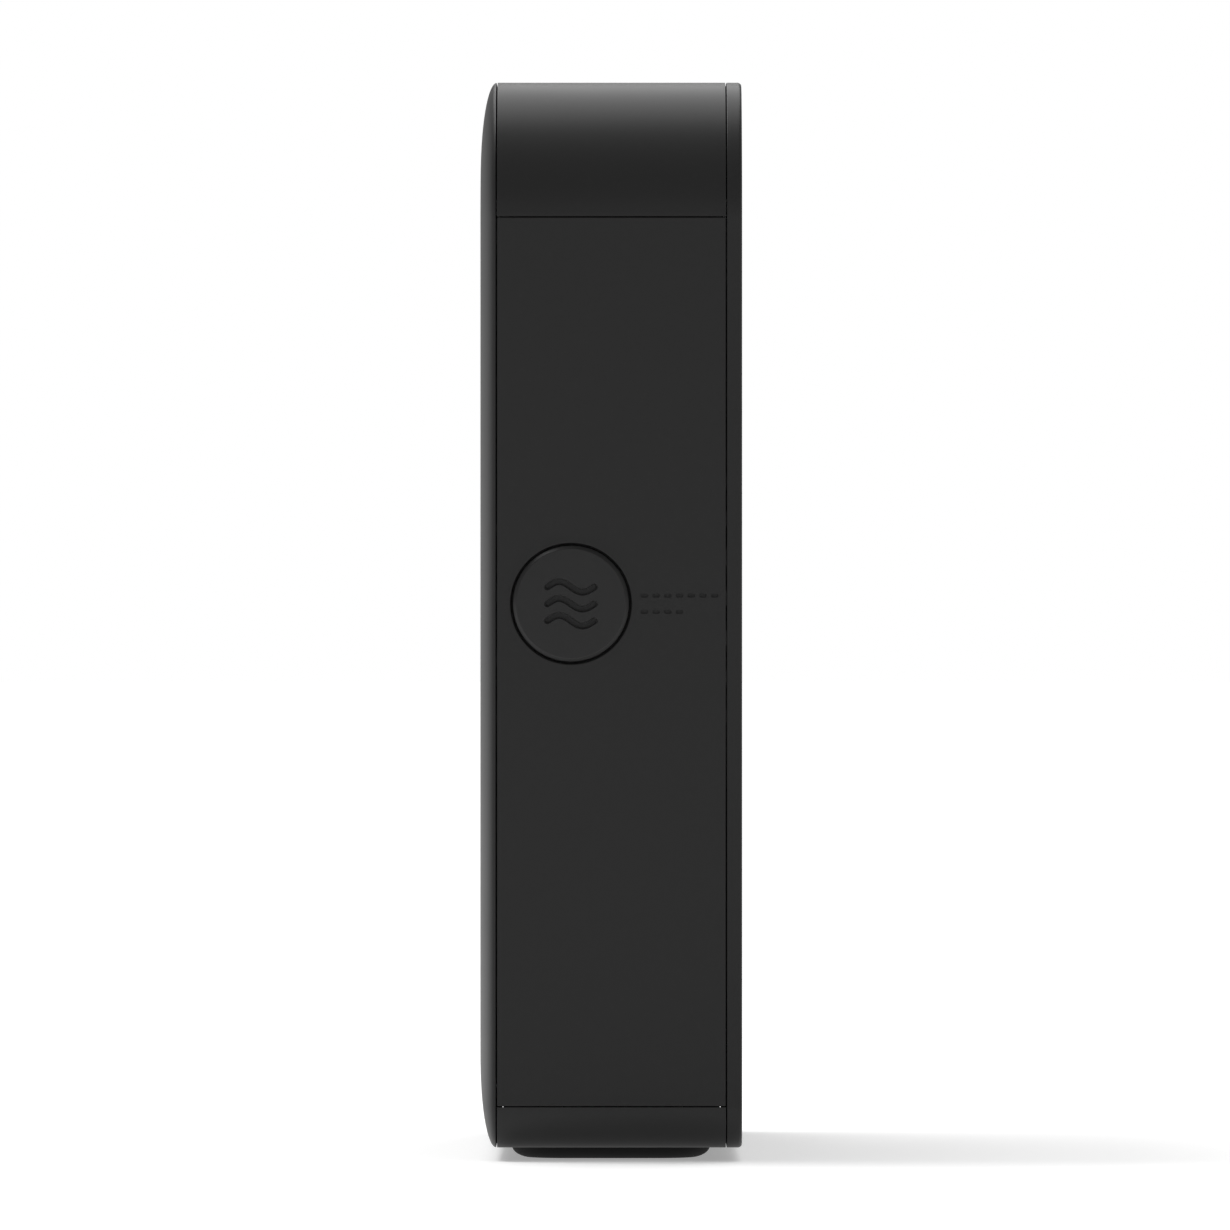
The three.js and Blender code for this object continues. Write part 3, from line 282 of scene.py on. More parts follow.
class Recipe:
    """A material under construction around one Principled shader."""

    def __init__(self, name, **fixed):
        self.material = bpy.data.materials.new(name)
        self.material.use_nodes = True
        self.tree = self.material.node_tree
        self.shader = self.tree.nodes["Principled BSDF"]
        for socket, value in fixed.items():
            self.shader.inputs[socket.replace("_", " ")].default_value = value
        self.place = self.add("ShaderNodeTexCoord", output="Object")

    def add(self, kind, settings=None, inputs=None, output=0):
        """Adds a node: its settings first, then the values or links of its sockets."""
        node = self.tree.nodes.new(kind)
        for setting, value in (settings or {}).items():
            setattr(node, setting, value)
        for socket, value in (inputs or {}).items():
            self.feed(node.inputs[socket], value)
        return Wire(self, node.outputs[output])

    def feed(self, socket, value):
        if isinstance(value, Wire):
            self.tree.links.new(value.socket, socket)
        else:
            socket.default_value = value

    def noise(self, size, detail=2.0, roughness=0.5):
        """Noise from 0 to 1 whose lumps are about that long."""
        settings = {"noise_dimensions": "3D"}
        inputs = {"Vector": self.place, "Scale": 1 / size, "Detail": detail, "Roughness": roughness}
        return self.add("ShaderNodeTexNoise", settings, inputs)

    def step(self, value, low, high):
        """A value cut to the range from low to high and stretched to 0 to 1, softly."""
        settings = {"interpolation_type": "SMOOTHSTEP", "clamp": True}
        inputs = {"Value": value, "From Min": low, "From Max": high}
        return self.add("ShaderNodeMapRange", settings, inputs)

    def mix(self, factor, first, second):
        """A colour between two others."""
        settings = {"data_type": "RGBA", "blend_type": "MIX"}
        return self.add("ShaderNodeMix", settings, {0: factor, 6: first, 7: second}, output=2)

    def bump(self, height, distance):
        return self.add("ShaderNodeBump", None, {"Height": height, "Distance": distance})

    def finish(self, **wires):
        """Feeds the shader's sockets and gives the material back."""
        for socket, wire in wires.items():
            self.feed(self.shader.inputs[socket.replace("_", " ")], wire)
        return self.material


def grey(value, warmth=0.0):
    """An opaque grey, a little warmer or cooler."""
    return (value * (1 + warmth), value, value * (1 - warmth), 1.0)


# %% [markdown]
# ### Moulded plastic
# The frame is satin charcoal plastic out of a spark-eroded mould. Such a surface is a field of
# tiny rounded pits a few tenths of a millimetre apart: they set how it shines. Over that lie much
# larger, fainter clouds where hands have polished it and where dust has settled. The pits are a
# bump, and the clouds change the roughness and lighten the colour slightly.

# %% Plastic finishes
def moulded(name, shade, rough, pit=0.35 * MM, depth=0.012 * MM, warmth=0.0):
    """Satin plastic: mould grain as bump, soft clouds in roughness and colour."""
    recipe = Recipe(name, Specular_IOR_Level=0.3)
    grain = recipe.noise(pit, detail=1.0)
    clouds = recipe.noise(45 * MM, detail=4.0, roughness=0.6)
    dust = recipe.step(recipe.noise(3 * MM, detail=3.0), 0.55, 0.8) * clouds
    colour = recipe.mix(dust * 0.5, grey(shade, warmth), grey(shade * 1.35, warmth))
    shine = (clouds - 0.5) * 0.05 + grain * 0.04 + (rough - 0.02)
    return recipe.finish(Base_Color=colour, Roughness=shine, Normal=recipe.bump(grain, depth))


FRAME_PLASTIC = moulded("charcoal_moulding", 0.012, 0.42)
KNOB_PLASTIC = moulded("knob_moulding", 0.0145, 0.38, pit=0.25 * MM, depth=0.008 * MM)
HEAD_PLASTIC = moulded("head_moulding", 0.024, 0.46, warmth=0.02)
BLADE_PLASTIC = moulded("blade_moulding", 0.007, 0.36, depth=0.006 * MM)
SOCKET_PLASTIC = moulded("socket_moulding", 0.008, 0.5)
NYLON = moulded("natural_nylon", 0.6, 0.5, warmth=0.03)
print("plastics", [m.name for m in (FRAME_PLASTIC, KNOB_PLASTIC, HEAD_PLASTIC, BLADE_PLASTIC)])

# %% [markdown]
# ### Rubber, metals and boards
# Rubber is nearly black and scatters the little light that it takes, with a coarse bloom on it.
# Zinc plated steel shows fine turning scratches, cast aluminium a sandy skin, copper wire its
# windings, and a circuit board a weave under the green mask.

# %% Other finishes
def rubber_finish():
    recipe = Recipe("black_rubber", Specular_IOR_Level=0.35)
    bloom = recipe.noise(6 * MM, detail=5.0)
    grain = recipe.noise(0.5 * MM, detail=2.0)
    colour = recipe.mix(bloom, grey(0.006), grey(0.011))
    return recipe.finish(
        Base_Color=colour, Roughness=bloom * 0.15 + 0.7, Normal=recipe.bump(grain, 0.02 * MM)
    )


def metal_finish(name, shade, rough, skin, depth, tint=(1.0, 1.0, 1.0)):
    """Bare metal whose skin is noise of one size."""
    recipe = Recipe(name, Metallic=1.0)
    tarnish = recipe.noise(7 * MM, detail=4.0)
    grain = recipe.noise(skin, detail=2.0)
    bright = tuple(shade * part for part in tint) + (1.0,)
    dull = tuple(0.72 * shade * part for part in tint) + (1.0,)
    colour = recipe.mix(recipe.step(tarnish, 0.4, 0.75), bright, dull)
    shine = tarnish * 0.14 + grain * 0.06 + (rough - 0.1)
    return recipe.finish(Base_Color=colour, Roughness=shine, Normal=recipe.bump(grain, depth))


def winding_finish():
    recipe = Recipe("copper_winding", Metallic=0.8)
    settings = {"wave_type": "BANDS", "bands_direction": "X", "wave_profile": "SIN"}
    turns = recipe.add("ShaderNodeTexWave", settings, {"Vector": recipe.place, "Scale": 320.0})
    colour = recipe.mix(turns, (0.16, 0.045, 0.018, 1.0), (0.42, 0.14, 0.05, 1.0))
    return recipe.finish(
        Base_Color=colour, Roughness=0.6 - turns * 0.25, Normal=recipe.bump(turns, 0.15 * MM)
    )


def board_finish():
    recipe = Recipe("board_mask", Coat_Roughness=0.2)
    settings = {"wave_type": "BANDS", "bands_direction": "DIAGONAL"}
    tracks = recipe.add("ShaderNodeTexWave", settings, {"Vector": recipe.place, "Scale": 160.0})
    weave = recipe.noise(0.8 * MM, detail=1.0)
    copper = recipe.step(tracks, 0.62, 0.7)
    colour = recipe.mix(copper, (0.006, 0.045, 0.02, 1.0), (0.02, 0.11, 0.05, 1.0))
    height = copper + weave * 0.2
    return recipe.finish(
        Base_Color=colour, Roughness=weave * 0.1 + 0.3, Normal=recipe.bump(height, 0.03 * MM)
    )


RUBBER = rubber_finish()
STEEL = metal_finish("zinc_plated_steel", 0.5, 0.34, 0.4 * MM, 0.004 * MM, tint=(0.98, 1.0, 1.03))
CAST_ALUMINIUM = metal_finish("cast_aluminium_skin", 0.42, 0.52, 0.7 * MM, 0.04 * MM)
COPPER = winding_finish()
BOARD = board_finish()
print("other finishes", [m.name for m in (RUBBER, STEEL, CAST_ALUMINIUM, COPPER, BOARD)])

# %% [markdown]
# ## Studio
# The floor is a plain pale sheet with nothing behind it, under a bright even sky. Dark plastic
# shows little but its reflections, so the lamps are placed for those. A broad soft sun high behind
# the fan lights its rounded top and leaves the flat side dark. A panel up on the left draws the
# edge of the front cover, and a faint tall strip on the right draws the edge of the rear cover.

# %% Floor, sky and lamps
bpy.context.scene.view_settings.view_transform = "Standard"


def floor():
    bm = bmesh.new()
    bmesh.ops.create_circle(bm, cap_ends=True, segments=64, radius=40)
    mesh = bpy.data.meshes.new("floor")
    bm.to_mesh(mesh)
    bm.free()
    glow = {"Emission_Color": (1, 1, 1, 1), "Emission_Strength": 0.32}
    recipe = Recipe("pale_floor", Roughness=0.9, Specular_IOR_Level=0.2, **glow)
    mottle = recipe.noise(0.4, detail=2.0)
    mesh.materials.append(recipe.finish(Base_Color=recipe.mix(mottle, grey(0.8), grey(0.82))))
    made = bpy.data.objects.new("floor", mesh)
    bpy.context.scene.collection.objects.link(made)


def sky(seen, lighting):
    """A plain world: one brightness for what the camera sees, another for the light it gives."""
    world = bpy.data.worlds.new("studio")
    bpy.context.scene.world = world
    world.use_nodes = True
    nodes, links = world.node_tree.nodes, world.node_tree.links
    rays = nodes.new("ShaderNodeLightPath")
    strength = nodes.new("ShaderNodeMapRange")
    strength.inputs["To Min"].default_value = lighting
    strength.inputs["To Max"].default_value = seen
    links.new(rays.outputs["Is Camera Ray"], strength.inputs["Value"])
    background = nodes["Background"]
    background.inputs["Color"].default_value = (1, 1, 1, 1)
    links.new(strength.outputs[0], background.inputs["Strength"])


def light(name, kind, place, target, power, **settings):
    """A lamp that faces its target."""
    data = bpy.data.lights.new(name, kind)
    data.energy = power
    for setting, value in settings.items():
        setattr(data, setting, value)
    made = bpy.data.objects.new(name, data)
    made.location = place
    made.rotation_euler = (Vector(target) - Vector(place)).to_track_quat("-Z", "Y").to_euler()
    bpy.context.scene.collection.objects.link(made)


def panel(name, place, target, size, power):
    light(name, "AREA", place, target, power, shape="RECTANGLE", size=size[0], size_y=size[1])


floor()
sky(seen=1.0, lighting=0.38)
light("high_sun", "SUN", (-0.5, 2.6, 4), (0, 0, 0), 1.95, angle=math.radians(68))
panel("upper_left_panel", (-1.0, 0.1, 2.2), (0, -0.1, 0.2), (0.7, 0.7), 16)
panel("rear_strip", (1.6, -0.5, 0.9), (0, -0.1, 0.25), (0.3, 1.4), 0.5)

# %% [markdown]
# ## Front cover
# The front cover is a tray with a round opening. Its face falls away to the edges in a long soft
# crown, a quarter of an ellipse 30 mm wide and only 5 mm high. Every contour of that crown is the
# frame's own outline moved inwards, so the cover is lofted from outlines: the corners are
# bevelled vertices, and each corner's radius shrinks with its contour.

# %% Frame outline
CORNER_STEPS = 20
LEAST_R = 2.5 * MM  # no contour has a tighter corner
CROWN_WIDTH = 30 * MM
CROWN_STEPS = 14
OPENING_SOFT = 1.6 * MM  # rounding of the opening's outer edge


def outline(bm, x, inset):
    """The frame's outline at x, moved inwards."""
    side, top, bottom = HALF_WIDTH - inset, FRAME_TOP - inset, FRAME_BOTTOM + inset
    corners = [(x, side, top), (x, -side, top), (x, -side, bottom), (x, side, bottom)]
    top_r, bottom_r = max(TOP_CORNER_R - inset, LEAST_R), max(BOTTOM_CORNER_R - inset, LEAST_R)
    return rounded(bm, corners, (top_r, top_r, bottom_r, bottom_r), CORNER_STEPS)


def crown(bm, base_x, rise, inset, start):
    """Contours of the crown, from the edge of the cover, at an angle, to its flat face."""
    angles = [start + (math.pi / 2 - start) * k / CROWN_STEPS for k in range(CROWN_STEPS + 1)]
    return [
        outline(bm, base_x - rise * math.sin(a), inset + CROWN_WIDTH * (1 - math.cos(a)))
        for a in angles
    ]


def ring(bm, x, radius):
    """A circle round the opening."""
    return circle(bm, (x, 0, PIVOT_Z), radius)


def cover(bm, outside, inside, opening, seam, collar_x, outer_holes=(), inner_holes=()):
    """A cover's skin: its outer contours and its inner ones, joined at the seam and round the
    opening, whose collar stands on the inner face."""
    lip, back = ring(bm, seam, OPENING_R), ring(bm, seam, OPENING_R + WALL)
    collar = ring(bm, collar_x, OPENING_R + WALL)
    bridge(bm, outside)
    fill(bm, outside[-1], opening[0], *outer_holes)
    bridge(bm, opening + [lip])
    fill(bm, lip, back)
    bridge(bm, [back, collar])
    fill(bm, inside[-1], collar, *inner_holes)
    bridge(bm, inside)
    fill(bm, inside[0], outside[0])


# %% Screw posts
POST_R = 5 * MM
POST_INSET = 26 * MM
SCREW_R = 1.5 * MM
SCREW_HEAD_R = 3.2 * MM
SCREW_HOLE_R = SCREW_R + SEAM
SCREW_LENGTH = 13 * MM
POSTS = [
    (side * (HALF_WIDTH - POST_INSET), z)
    for side in (-1, 1)
    for z in (FRAME_TOP - POST_INSET, FRAME_BOTTOM + POST_INSET)
]


def bored_post(bm, place, start, end, tip, radius):
    """A solid post along X from start to end, bored for a screw from its end down to tip."""
    profile = [(start, 0), (start, radius), (end, radius)]
    profile += [(end, SCREW_HOLE_R), (tip, SCREW_HOLE_R), (tip, 0)]
    turned(bm, profile, place, sides=32)


# %% Front cover
def front_cover():
    bm = bmesh.new()
    rise = FRONT_SEAM - FRONT
    outside = [
        outline(bm, FRONT_SEAM - depth, inset) for depth, inset in rolled(EDGE, 3, inward=True)[:-1]
    ]
    outside += crown(bm, FRONT_SEAM, rise, 0, math.asin(EDGE / rise))
    inside = crown(bm, FRONT_SEAM + WALL, rise, WALL, math.asin(WALL / rise))
    opening = [
        ring(bm, FRONT + depth, OPENING_R + grown)
        for depth, grown in rolled(OPENING_SOFT, 6, inward=True)
    ]
    cover(bm, outside, inside, opening, FRONT_SEAM, FRONT + WALL)
    start, end, tip = FRONT + WALL, REAR - WALL - SEAM, REAR - WALL - SCREW_LENGTH
    for y, z in POSTS:
        bored_post(bm, (0, y, z), start, end, tip, POST_R)
    piece("front_cover_shell", bm, "frame", FRAME_PLASTIC, "frame_plastic", "front_cover")


front_cover()

# %% [markdown]
# ## Rear cover
# The rear cover is a flat tray with a small rounded edge. Its face has four counterbored screw
# holes and a cut for the mains inlet. Each hole is a stack of circles: where two lie in one plane
# the face between them is filled, and elsewhere they are bridged into a wall.

# %% Rear cover
REAR_EDGE_R = 1.2 * MM
COUNTERBORE_DEPTH = 1.8 * MM
COUNTERBORE_R = SCREW_HEAD_R + SEAM
INLET_LOW, INLET_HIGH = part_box("power_inlet")
INLET_CORNER_R = 1 * MM


def inlet_outline(bm, x, grow):
    """The mains inlet's outline at x, or one a little larger."""
    low, high = INLET_LOW - Vector((0, grow, grow)), INLET_HIGH + Vector((0, grow, grow))
    corners = [(x, high.y, high.z), (x, low.y, high.z), (x, low.y, low.z), (x, high.y, low.z)]
    return rounded(bm, corners, (INLET_CORNER_R,) * 4, 5)


def counterbore(bm, y, z, face, back):
    """The circles of a counterbored screw hole through a wall, from its face to its back."""
    shelf = face - COUNTERBORE_DEPTH
    stations = [(face, COUNTERBORE_R), (shelf, COUNTERBORE_R)]
    stations += [(shelf, SCREW_HOLE_R), (back, SCREW_HOLE_R)]
    return [circle(bm, (x, y, z), radius, sides=32) for x, radius in stations]


def bored(bm, holes):
    """The walls of some counterbored holes."""
    for face_loop, shelf_loop, bore, end in holes:
        bridge(bm, [face_loop, shelf_loop])
        fill(bm, shelf_loop, bore)
        bridge(bm, [bore, end])


def rear_cover():
    bm = bmesh.new()
    outside = [outline(bm, REAR_SEAM + depth, inset) for depth, inset in rolled(EDGE, 3, inward=True)]
    outside += [outline(bm, REAR - depth, inset) for depth, inset in rolled(REAR_EDGE_R, 6)]
    inside = [outline(bm, x, WALL) for x in (REAR_SEAM, REAR - WALL)]
    opening = [
        ring(bm, REAR - depth, OPENING_R + grown)
        for depth, grown in rolled(REAR_EDGE_R, 4, inward=True)
    ]
    socket = [inlet_outline(bm, x, SEAM) for x in (REAR, REAR - WALL)]
    holes = [counterbore(bm, y, z, REAR, REAR - WALL) for y, z in POSTS]
    cover(
        bm, outside, inside, opening, REAR_SEAM, REAR - WALL,
        outer_holes=[socket[0]] + [hole[0] for hole in holes],
        inner_holes=[socket[1]] + [hole[3] for hole in holes],
    )
    bridge(bm, socket)
    bored(bm, holes)
    piece("rear_cover_shell", bm, "frame", FRAME_PLASTIC, "frame_plastic", "rear_cover")


rear_cover()

# %% [markdown]
# ## Top cap and bottom cap
# Between the covers runs a band of four mouldings. The top cap wraps both upper corners and the
# bottom cap both lower ones. Their section is constant along the fan's depth, so each is one
# outline extruded, with every sharp edge softened. The soft edges matter: they are what shows
# the seams as fine lines. The bottom cap's floor is refilled around two recesses for the feet.

# %% Band sections
FOOT_RECESS = 1 * MM
FOOT_LENGTH, FOOT_WIDTH = (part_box("foot_left")[1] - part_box("foot_left")[0]).xy
FOOT_Y = (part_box("foot_right")[0].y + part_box("foot_right")[1].y) / 2


def extruded(bm, edges, depth):
    """A solid from an outline and its depth along X, with its sharp edges softened."""
    base = bmesh.ops.edgeloop_fill(bm, edges=edges)["faces"]
    grown = bmesh.ops.extrude_face_region(bm, geom=base, use_keep_orig=True)["geom"]
    tops = [item for item in grown if isinstance(item, bmesh.types.BMVert)]
    bmesh.ops.translate(bm, verts=tops, vec=(depth, 0, 0))
    bmesh.ops.recalc_face_normals(bm, faces=bm.faces)
    sharp = [e for e in bm.edges if e.is_manifold and e.calc_face_angle() > math.radians(50)]
    bmesh.ops.bevel(
        bm, geom=sharp, offset=EDGE, affect="EDGES", segments=3, profile=0.5, material=-1,
        clamp_overlap=True,
    )


def band_section(bm, seam, far, radius):
    """The outline of a cap at the band's front: down from one side, round, and back inside."""
    skin = WALL if far > seam else -WALL
    side, inside = HALF_WIDTH, HALF_WIDTH - WALL
    points = [(side, seam), (side, far), (-side, far), (-side, seam)]
    points += [(-inside, seam), (-inside, far - skin), (inside, far - skin), (inside, seam)]
    corners = [(BAND_FRONT, y, z) for y, z in points]
    small = radius - WALL
    return rounded(bm, corners, (0, radius, radius, 0, 0, small, small, 0), CORNER_STEPS)


def top_cap():
    bm = bmesh.new()
    section = band_section(bm, PANEL_TOP + SEAM, FRAME_TOP, TOP_CORNER_R)
    extruded(bm, section, BAND_DEPTH)
    piece("top_cap_shell", bm, "frame", FRAME_PLASTIC, "frame_plastic", "top_cap")


top_cap()

# %% Bottom cap
def stadium(bm, z, inset, y):
    """The outline of a foot at a height, moved inwards."""
    a, b = FOOT_LENGTH / 2 - inset, FOOT_WIDTH / 2 - inset
    corners = [(a, y - b, z), (a, y + b, z), (-a, y + b, z), (-a, y - b, z)]
    return rounded(bm, corners, (b - HAIR,) * 4, 12)


def opened(bm, facing):
    """Takes away the largest face that looks one way and gives back the edges round it."""
    face = max(bm.faces, key=lambda f: f.normal.dot(facing) * f.calc_area())
    edges = list(face.edges)
    bmesh.ops.delete(bm, geom=[face], context="FACES_ONLY")
    return edges


def bottom_cap():
    bm = bmesh.new()
    section = band_section(bm, PANEL_BOTTOM - SEAM, FRAME_BOTTOM, BOTTOM_CORNER_R)
    extruded(bm, section, BAND_DEPTH)
    rim = opened(bm, Vector((0, 0, -1)))
    recesses = [
        [stadium(bm, z, -SEAM, side * FOOT_Y) for z in (FRAME_BOTTOM, FRAME_BOTTOM + FOOT_RECESS)]
        for side in (-1, 1)
    ]
    fill(bm, rim, *[recess[0] for recess in recesses])
    for recess in recesses:
        bridge(bm, recess)
        fill(bm, recess[1])
    piece("bottom_cap_shell", bm, "frame", FRAME_PLASTIC, "frame_plastic", "bottom_cap")


bottom_cap()

# %% [markdown]
# ## Feet
# The fan stands on two rubber pads, long in the direction of its depth. A moulded pad bulges
# towards the table and rolls in to a small flat, so its outline shrinks along a quarter ellipse.

# %% Feet
FOOT_ROLL, FOOT_ROLL_WIDTH = 3.9 * MM, 6.4 * MM


def foot(side, name):
    bm = bmesh.new()
    top = FRAME_BOTTOM + FOOT_RECESS - SEAM
    loops = [
        stadium(bm, FOOT_ROLL * (1 - math.cos(a)), FOOT_ROLL_WIDTH * (1 - math.sin(a)), side * FOOT_Y)
        for a in quarter(8)
    ]
    loops.append(stadium(bm, top, 0, side * FOOT_Y))
    bridge(bm, loops)
    fill(bm, loops[0])
    fill(bm, loops[-1])
    piece(f"{name}_pad", bm, "frame", RUBBER, "rubber", name)


foot(-1, "foot_left")
foot(1, "foot_right")

# %% [markdown]
# ## Side panels
# Each side has a flat panel with a round pocket near its middle. The left pocket holds the speed
# knob and the right one a plain cap over the pivot. The panel is a softened box whose outer face
# is refilled round the pocket, and whose inner face is refilled round the pocket's cup. Beside
# the knob the moulder has sunk a small scale: two rows of short bars, which say nothing.

# %% Panel pieces
KNOB_GAP = 0.6 * MM
POCKET_R = KNOB_R + KNOB_GAP
POCKET_WALL = 1.5 * MM
POCKET_FLOOR = HALF_WIDTH - 5.5 * MM
POCKET_SOFT = 0.6 * MM
SPINDLE_R = 3 * MM
MARK_DEPTH = 0.9 * MM
BAR_ROWS = [(2.6 * MM, 7), (-2.6 * MM, 4)]  # height above the knob's middle, and count
BAR_START, BAR_PITCH = PIVOT_X + 22.3 * MM, 3.75 * MM
BAR_LENGTH, BAR_HEIGHT = 2.4 * MM, 1.3 * MM


def pivot_circle(bm, y, radius, sides=96):
    return circle(bm, (PIVOT_X, y, PIVOT_Z), radius, turn=FACE_Y, sides=sides)


def bar_marks(bm, y, floor_y):
    """Small rounded bars in a face. Each is its loop in the face and its loop on the floor."""
    marks = []
    for height, count in BAR_ROWS:
        low, high = PIVOT_Z + height - BAR_HEIGHT / 2, PIVOT_Z + height + BAR_HEIGHT / 2
        for k in range(count):
            near = BAR_START + k * BAR_PITCH
            far = near + BAR_LENGTH
            plan = [(near, low), (far, low), (far, high), (near, high)]
            marks.append([
                rounded(bm, [(x, level, z) for x, z in plan], (BAR_HEIGHT * 0.45,) * 4, 3)
                for level in (y, floor_y)
            ])
    return marks


def side_panel(side, name):
    bm = bmesh.new()
    size = (BAND_DEPTH, WALL, PANEL_TOP - PANEL_BOTTOM, 1)
    middle = (BAND_MIDDLE, side * (HALF_WIDTH - WALL / 2), (PANEL_TOP + PANEL_BOTTOM) / 2)
    place = Matrix.Translation(middle) @ Matrix.Diagonal(size)
    made = bmesh.ops.create_cube(bm, size=1, matrix=place)
    bmesh.ops.bevel(
        bm, geom=edges_of(made["verts"]), offset=EDGE, affect="EDGES", segments=3, profile=0.5,
        material=-1,
    )
    out = Vector((0, side, 0))
    outside, inside = opened(bm, out), opened(bm, -out)
    face, floor_y = side * HALF_WIDTH, side * POCKET_FLOOR
    pocket = [
        pivot_circle(bm, face - side * depth, POCKET_R + grown)
        for depth, grown in rolled(POCKET_SOFT, 4, inward=True)
    ]
    pocket.append(pivot_circle(bm, floor_y, POCKET_R))
    back_y, inside_y = floor_y - side * POCKET_WALL, side * (HALF_WIDTH - WALL)
    bore = [pivot_circle(bm, y, SPINDLE_R + SEAM, sides=48) for y in (floor_y, back_y)]
    cup = [pivot_circle(bm, y, POCKET_R + POCKET_WALL) for y in (back_y, inside_y)]
    marks = bar_marks(bm, face, face - side * MARK_DEPTH) if side < 0 else []
    fill(bm, outside, pocket[0], *[mark[0] for mark in marks])
    bridge(bm, pocket)
    fill(bm, pocket[-1], bore[0])
    bridge(bm, bore)
    fill(bm, cup[0], bore[1])
    bridge(bm, cup)
    fill(bm, inside, cup[1])
    for mark in marks:
        bridge(bm, mark)
        fill(bm, mark[1])
    piece(f"{name}_plate", bm, "frame", FRAME_PLASTIC, "frame_plastic", name)


side_panel(-1, "side_panel_left")
side_panel(1, "side_panel_right")

# %% [markdown]
# ## Speed knob and pivot cap
# The knob is a flat disc that stands 2 mm out of its pocket. Its rim is rounded, and it catches
# the light from above. A generic mark of three air waves is sunk into its face, so a user can see
# it turn. The cap on the other side is the same disc, plain and fixed.

# %% Knob and cap
# The rim is a chamfer whose two edges are softened: (depth, inset) stations in millimetres.
KNOB_RIM = [(1.15, 0), (1.0, 0.05), (0.85, 0.18), (0.18, 0.85), (0.05, 1.0), (0, 1.15)]
KNOB_BACK = HALF_WIDTH - 5 * MM
KNOB_SOCKET = 4.3 * MM  # depth of the hole for the spindle
WAVE_LENGTH, WAVE_HEIGHT = 15 * MM, 1.7 * MM
WAVE_GROOVE = [(0, 2.4), (0.3, 1.8), (2.2, 1.6)]  # (depth, width) stations in millimetres
WAVE_PITCH = 5.4 * MM
WAVE_STEPS = 24


def wave(bm, y, z, width):
    """The outline of one air wave: a narrow band along a sine, with round ends."""
    def point(share, offset):
        x = PIVOT_X + WAVE_LENGTH * (share - 0.5)
        turn = math.atan(WAVE_HEIGHT * 2 * math.pi / WAVE_LENGTH * math.cos(2 * math.pi * share))
        height = z + WAVE_HEIGHT * math.sin(2 * math.pi * share)
        return Vector((x - offset * math.sin(turn), y, height + offset * math.cos(turn)))

    def end(share, way):
        middle, tip = point(share, 0), point(share, width / 2)
        turns = [way * math.pi * k / 8 for k in range(1, 8)]
        return [middle + Matrix.Rotation(turn, 3, "Y") @ (tip - middle) for turn in turns]

    shares = [k / WAVE_STEPS for k in range(WAVE_STEPS + 1)]
    upper = [point(share, width / 2) for share in shares]
    lower = [point(share, -width / 2) for share in reversed(shares)]
    return outlined(bm, upper + end(1, 1) + lower + end(0, -1)[::-1])


def knob(side, name, body, waves):
    bm = bmesh.new()
    face, back_y = side * KNOB_FACE, side * KNOB_BACK
    rim = [
        pivot_circle(bm, face - side * depth * MM, KNOB_R - inset * MM) for depth, inset in KNOB_RIM
    ]
    back = pivot_circle(bm, back_y, KNOB_R)
    hole = [
        pivot_circle(bm, y, SPINDLE_R + SEAM, sides=48)
        for y in (back_y, side * (KNOB_BACK + KNOB_SOCKET))
    ]
    marks = [
        [wave(bm, face - side * depth * MM, PIVOT_Z + z, width * MM) for depth, width in WAVE_GROOVE]
        for z in waves
    ]
    fill(bm, rim[-1], *[mark[0] for mark in marks])
    bridge(bm, [back] + rim)
    fill(bm, back, hole[0])
    bridge(bm, hole)
    fill(bm, hole[1])
    for mark in marks:
        bridge(bm, mark)
        fill(bm, mark[-1])
    piece(f"{name}_disc", bm, body, KNOB_PLASTIC, "frame_plastic", name)


knob(-1, "speed_knob", "knob", (WAVE_PITCH, 0, -WAVE_PITCH))
knob(1, "pivot_cap", "frame", ())

# %% [markdown]
# ## Mains inlet and screws
# The inlet is a black block with a socket for a two-pin plug. Its pins are plated steel with
# domed ends. The covers, the head's ring and the motor are held by screws whose heads have a cross
# recess: a cross-shaped loop in the head's face, and the same loop deeper down and smaller.

# %% Mains inlet
SOCKET_LENGTH, SOCKET_HEIGHT = 19 * MM, 9 * MM
SOCKET_FLOOR, SOCKET_SOFT = INLET_LOW.x + 4 * MM, 0.5 * MM
INLET_Z = (INLET_LOW.z + INLET_HIGH.z) / 2
PIN_OFFSET = 4.3 * MM
PIN_R, PIN_DOME = 1.2 * MM, 0.9 * MM
PIN_BACK, PIN_FRONT = SOCKET_FLOOR - MM, INLET_HIGH.x - 3 * MM


def socket_outline(bm, x, grow):
    a, b = SOCKET_LENGTH / 2 + grow, SOCKET_HEIGHT / 2 + grow
    corners = [(x, a, INLET_Z + b), (x, -a, INLET_Z + b), (x, -a, INLET_Z - b), (x, a, INLET_Z - b)]
    return rounded(bm, corners, (b - HAIR,) * 4, 12)


def power_inlet():
    bm = bmesh.new()
    face = INLET_HIGH.x
    sides = [inlet_outline(bm, INLET_LOW.x, 0)]
    sides += [inlet_outline(bm, face - depth, -inset) for depth, inset in rolled(EDGE, 3)]
    mouth = [
        socket_outline(bm, face - depth, grown)
        for depth, grown in rolled(SOCKET_SOFT, 3, inward=True)
    ]
    mouth.append(socket_outline(bm, SOCKET_FLOOR, 0))
    bridge(bm, sides)
    fill(bm, sides[0])
    fill(bm, sides[-1], mouth[0])
    bridge(bm, mouth)
    fill(bm, mouth[-1])
    piece("power_inlet_block", bm, "frame", SOCKET_PLASTIC, "black_plastic", "power_inlet")


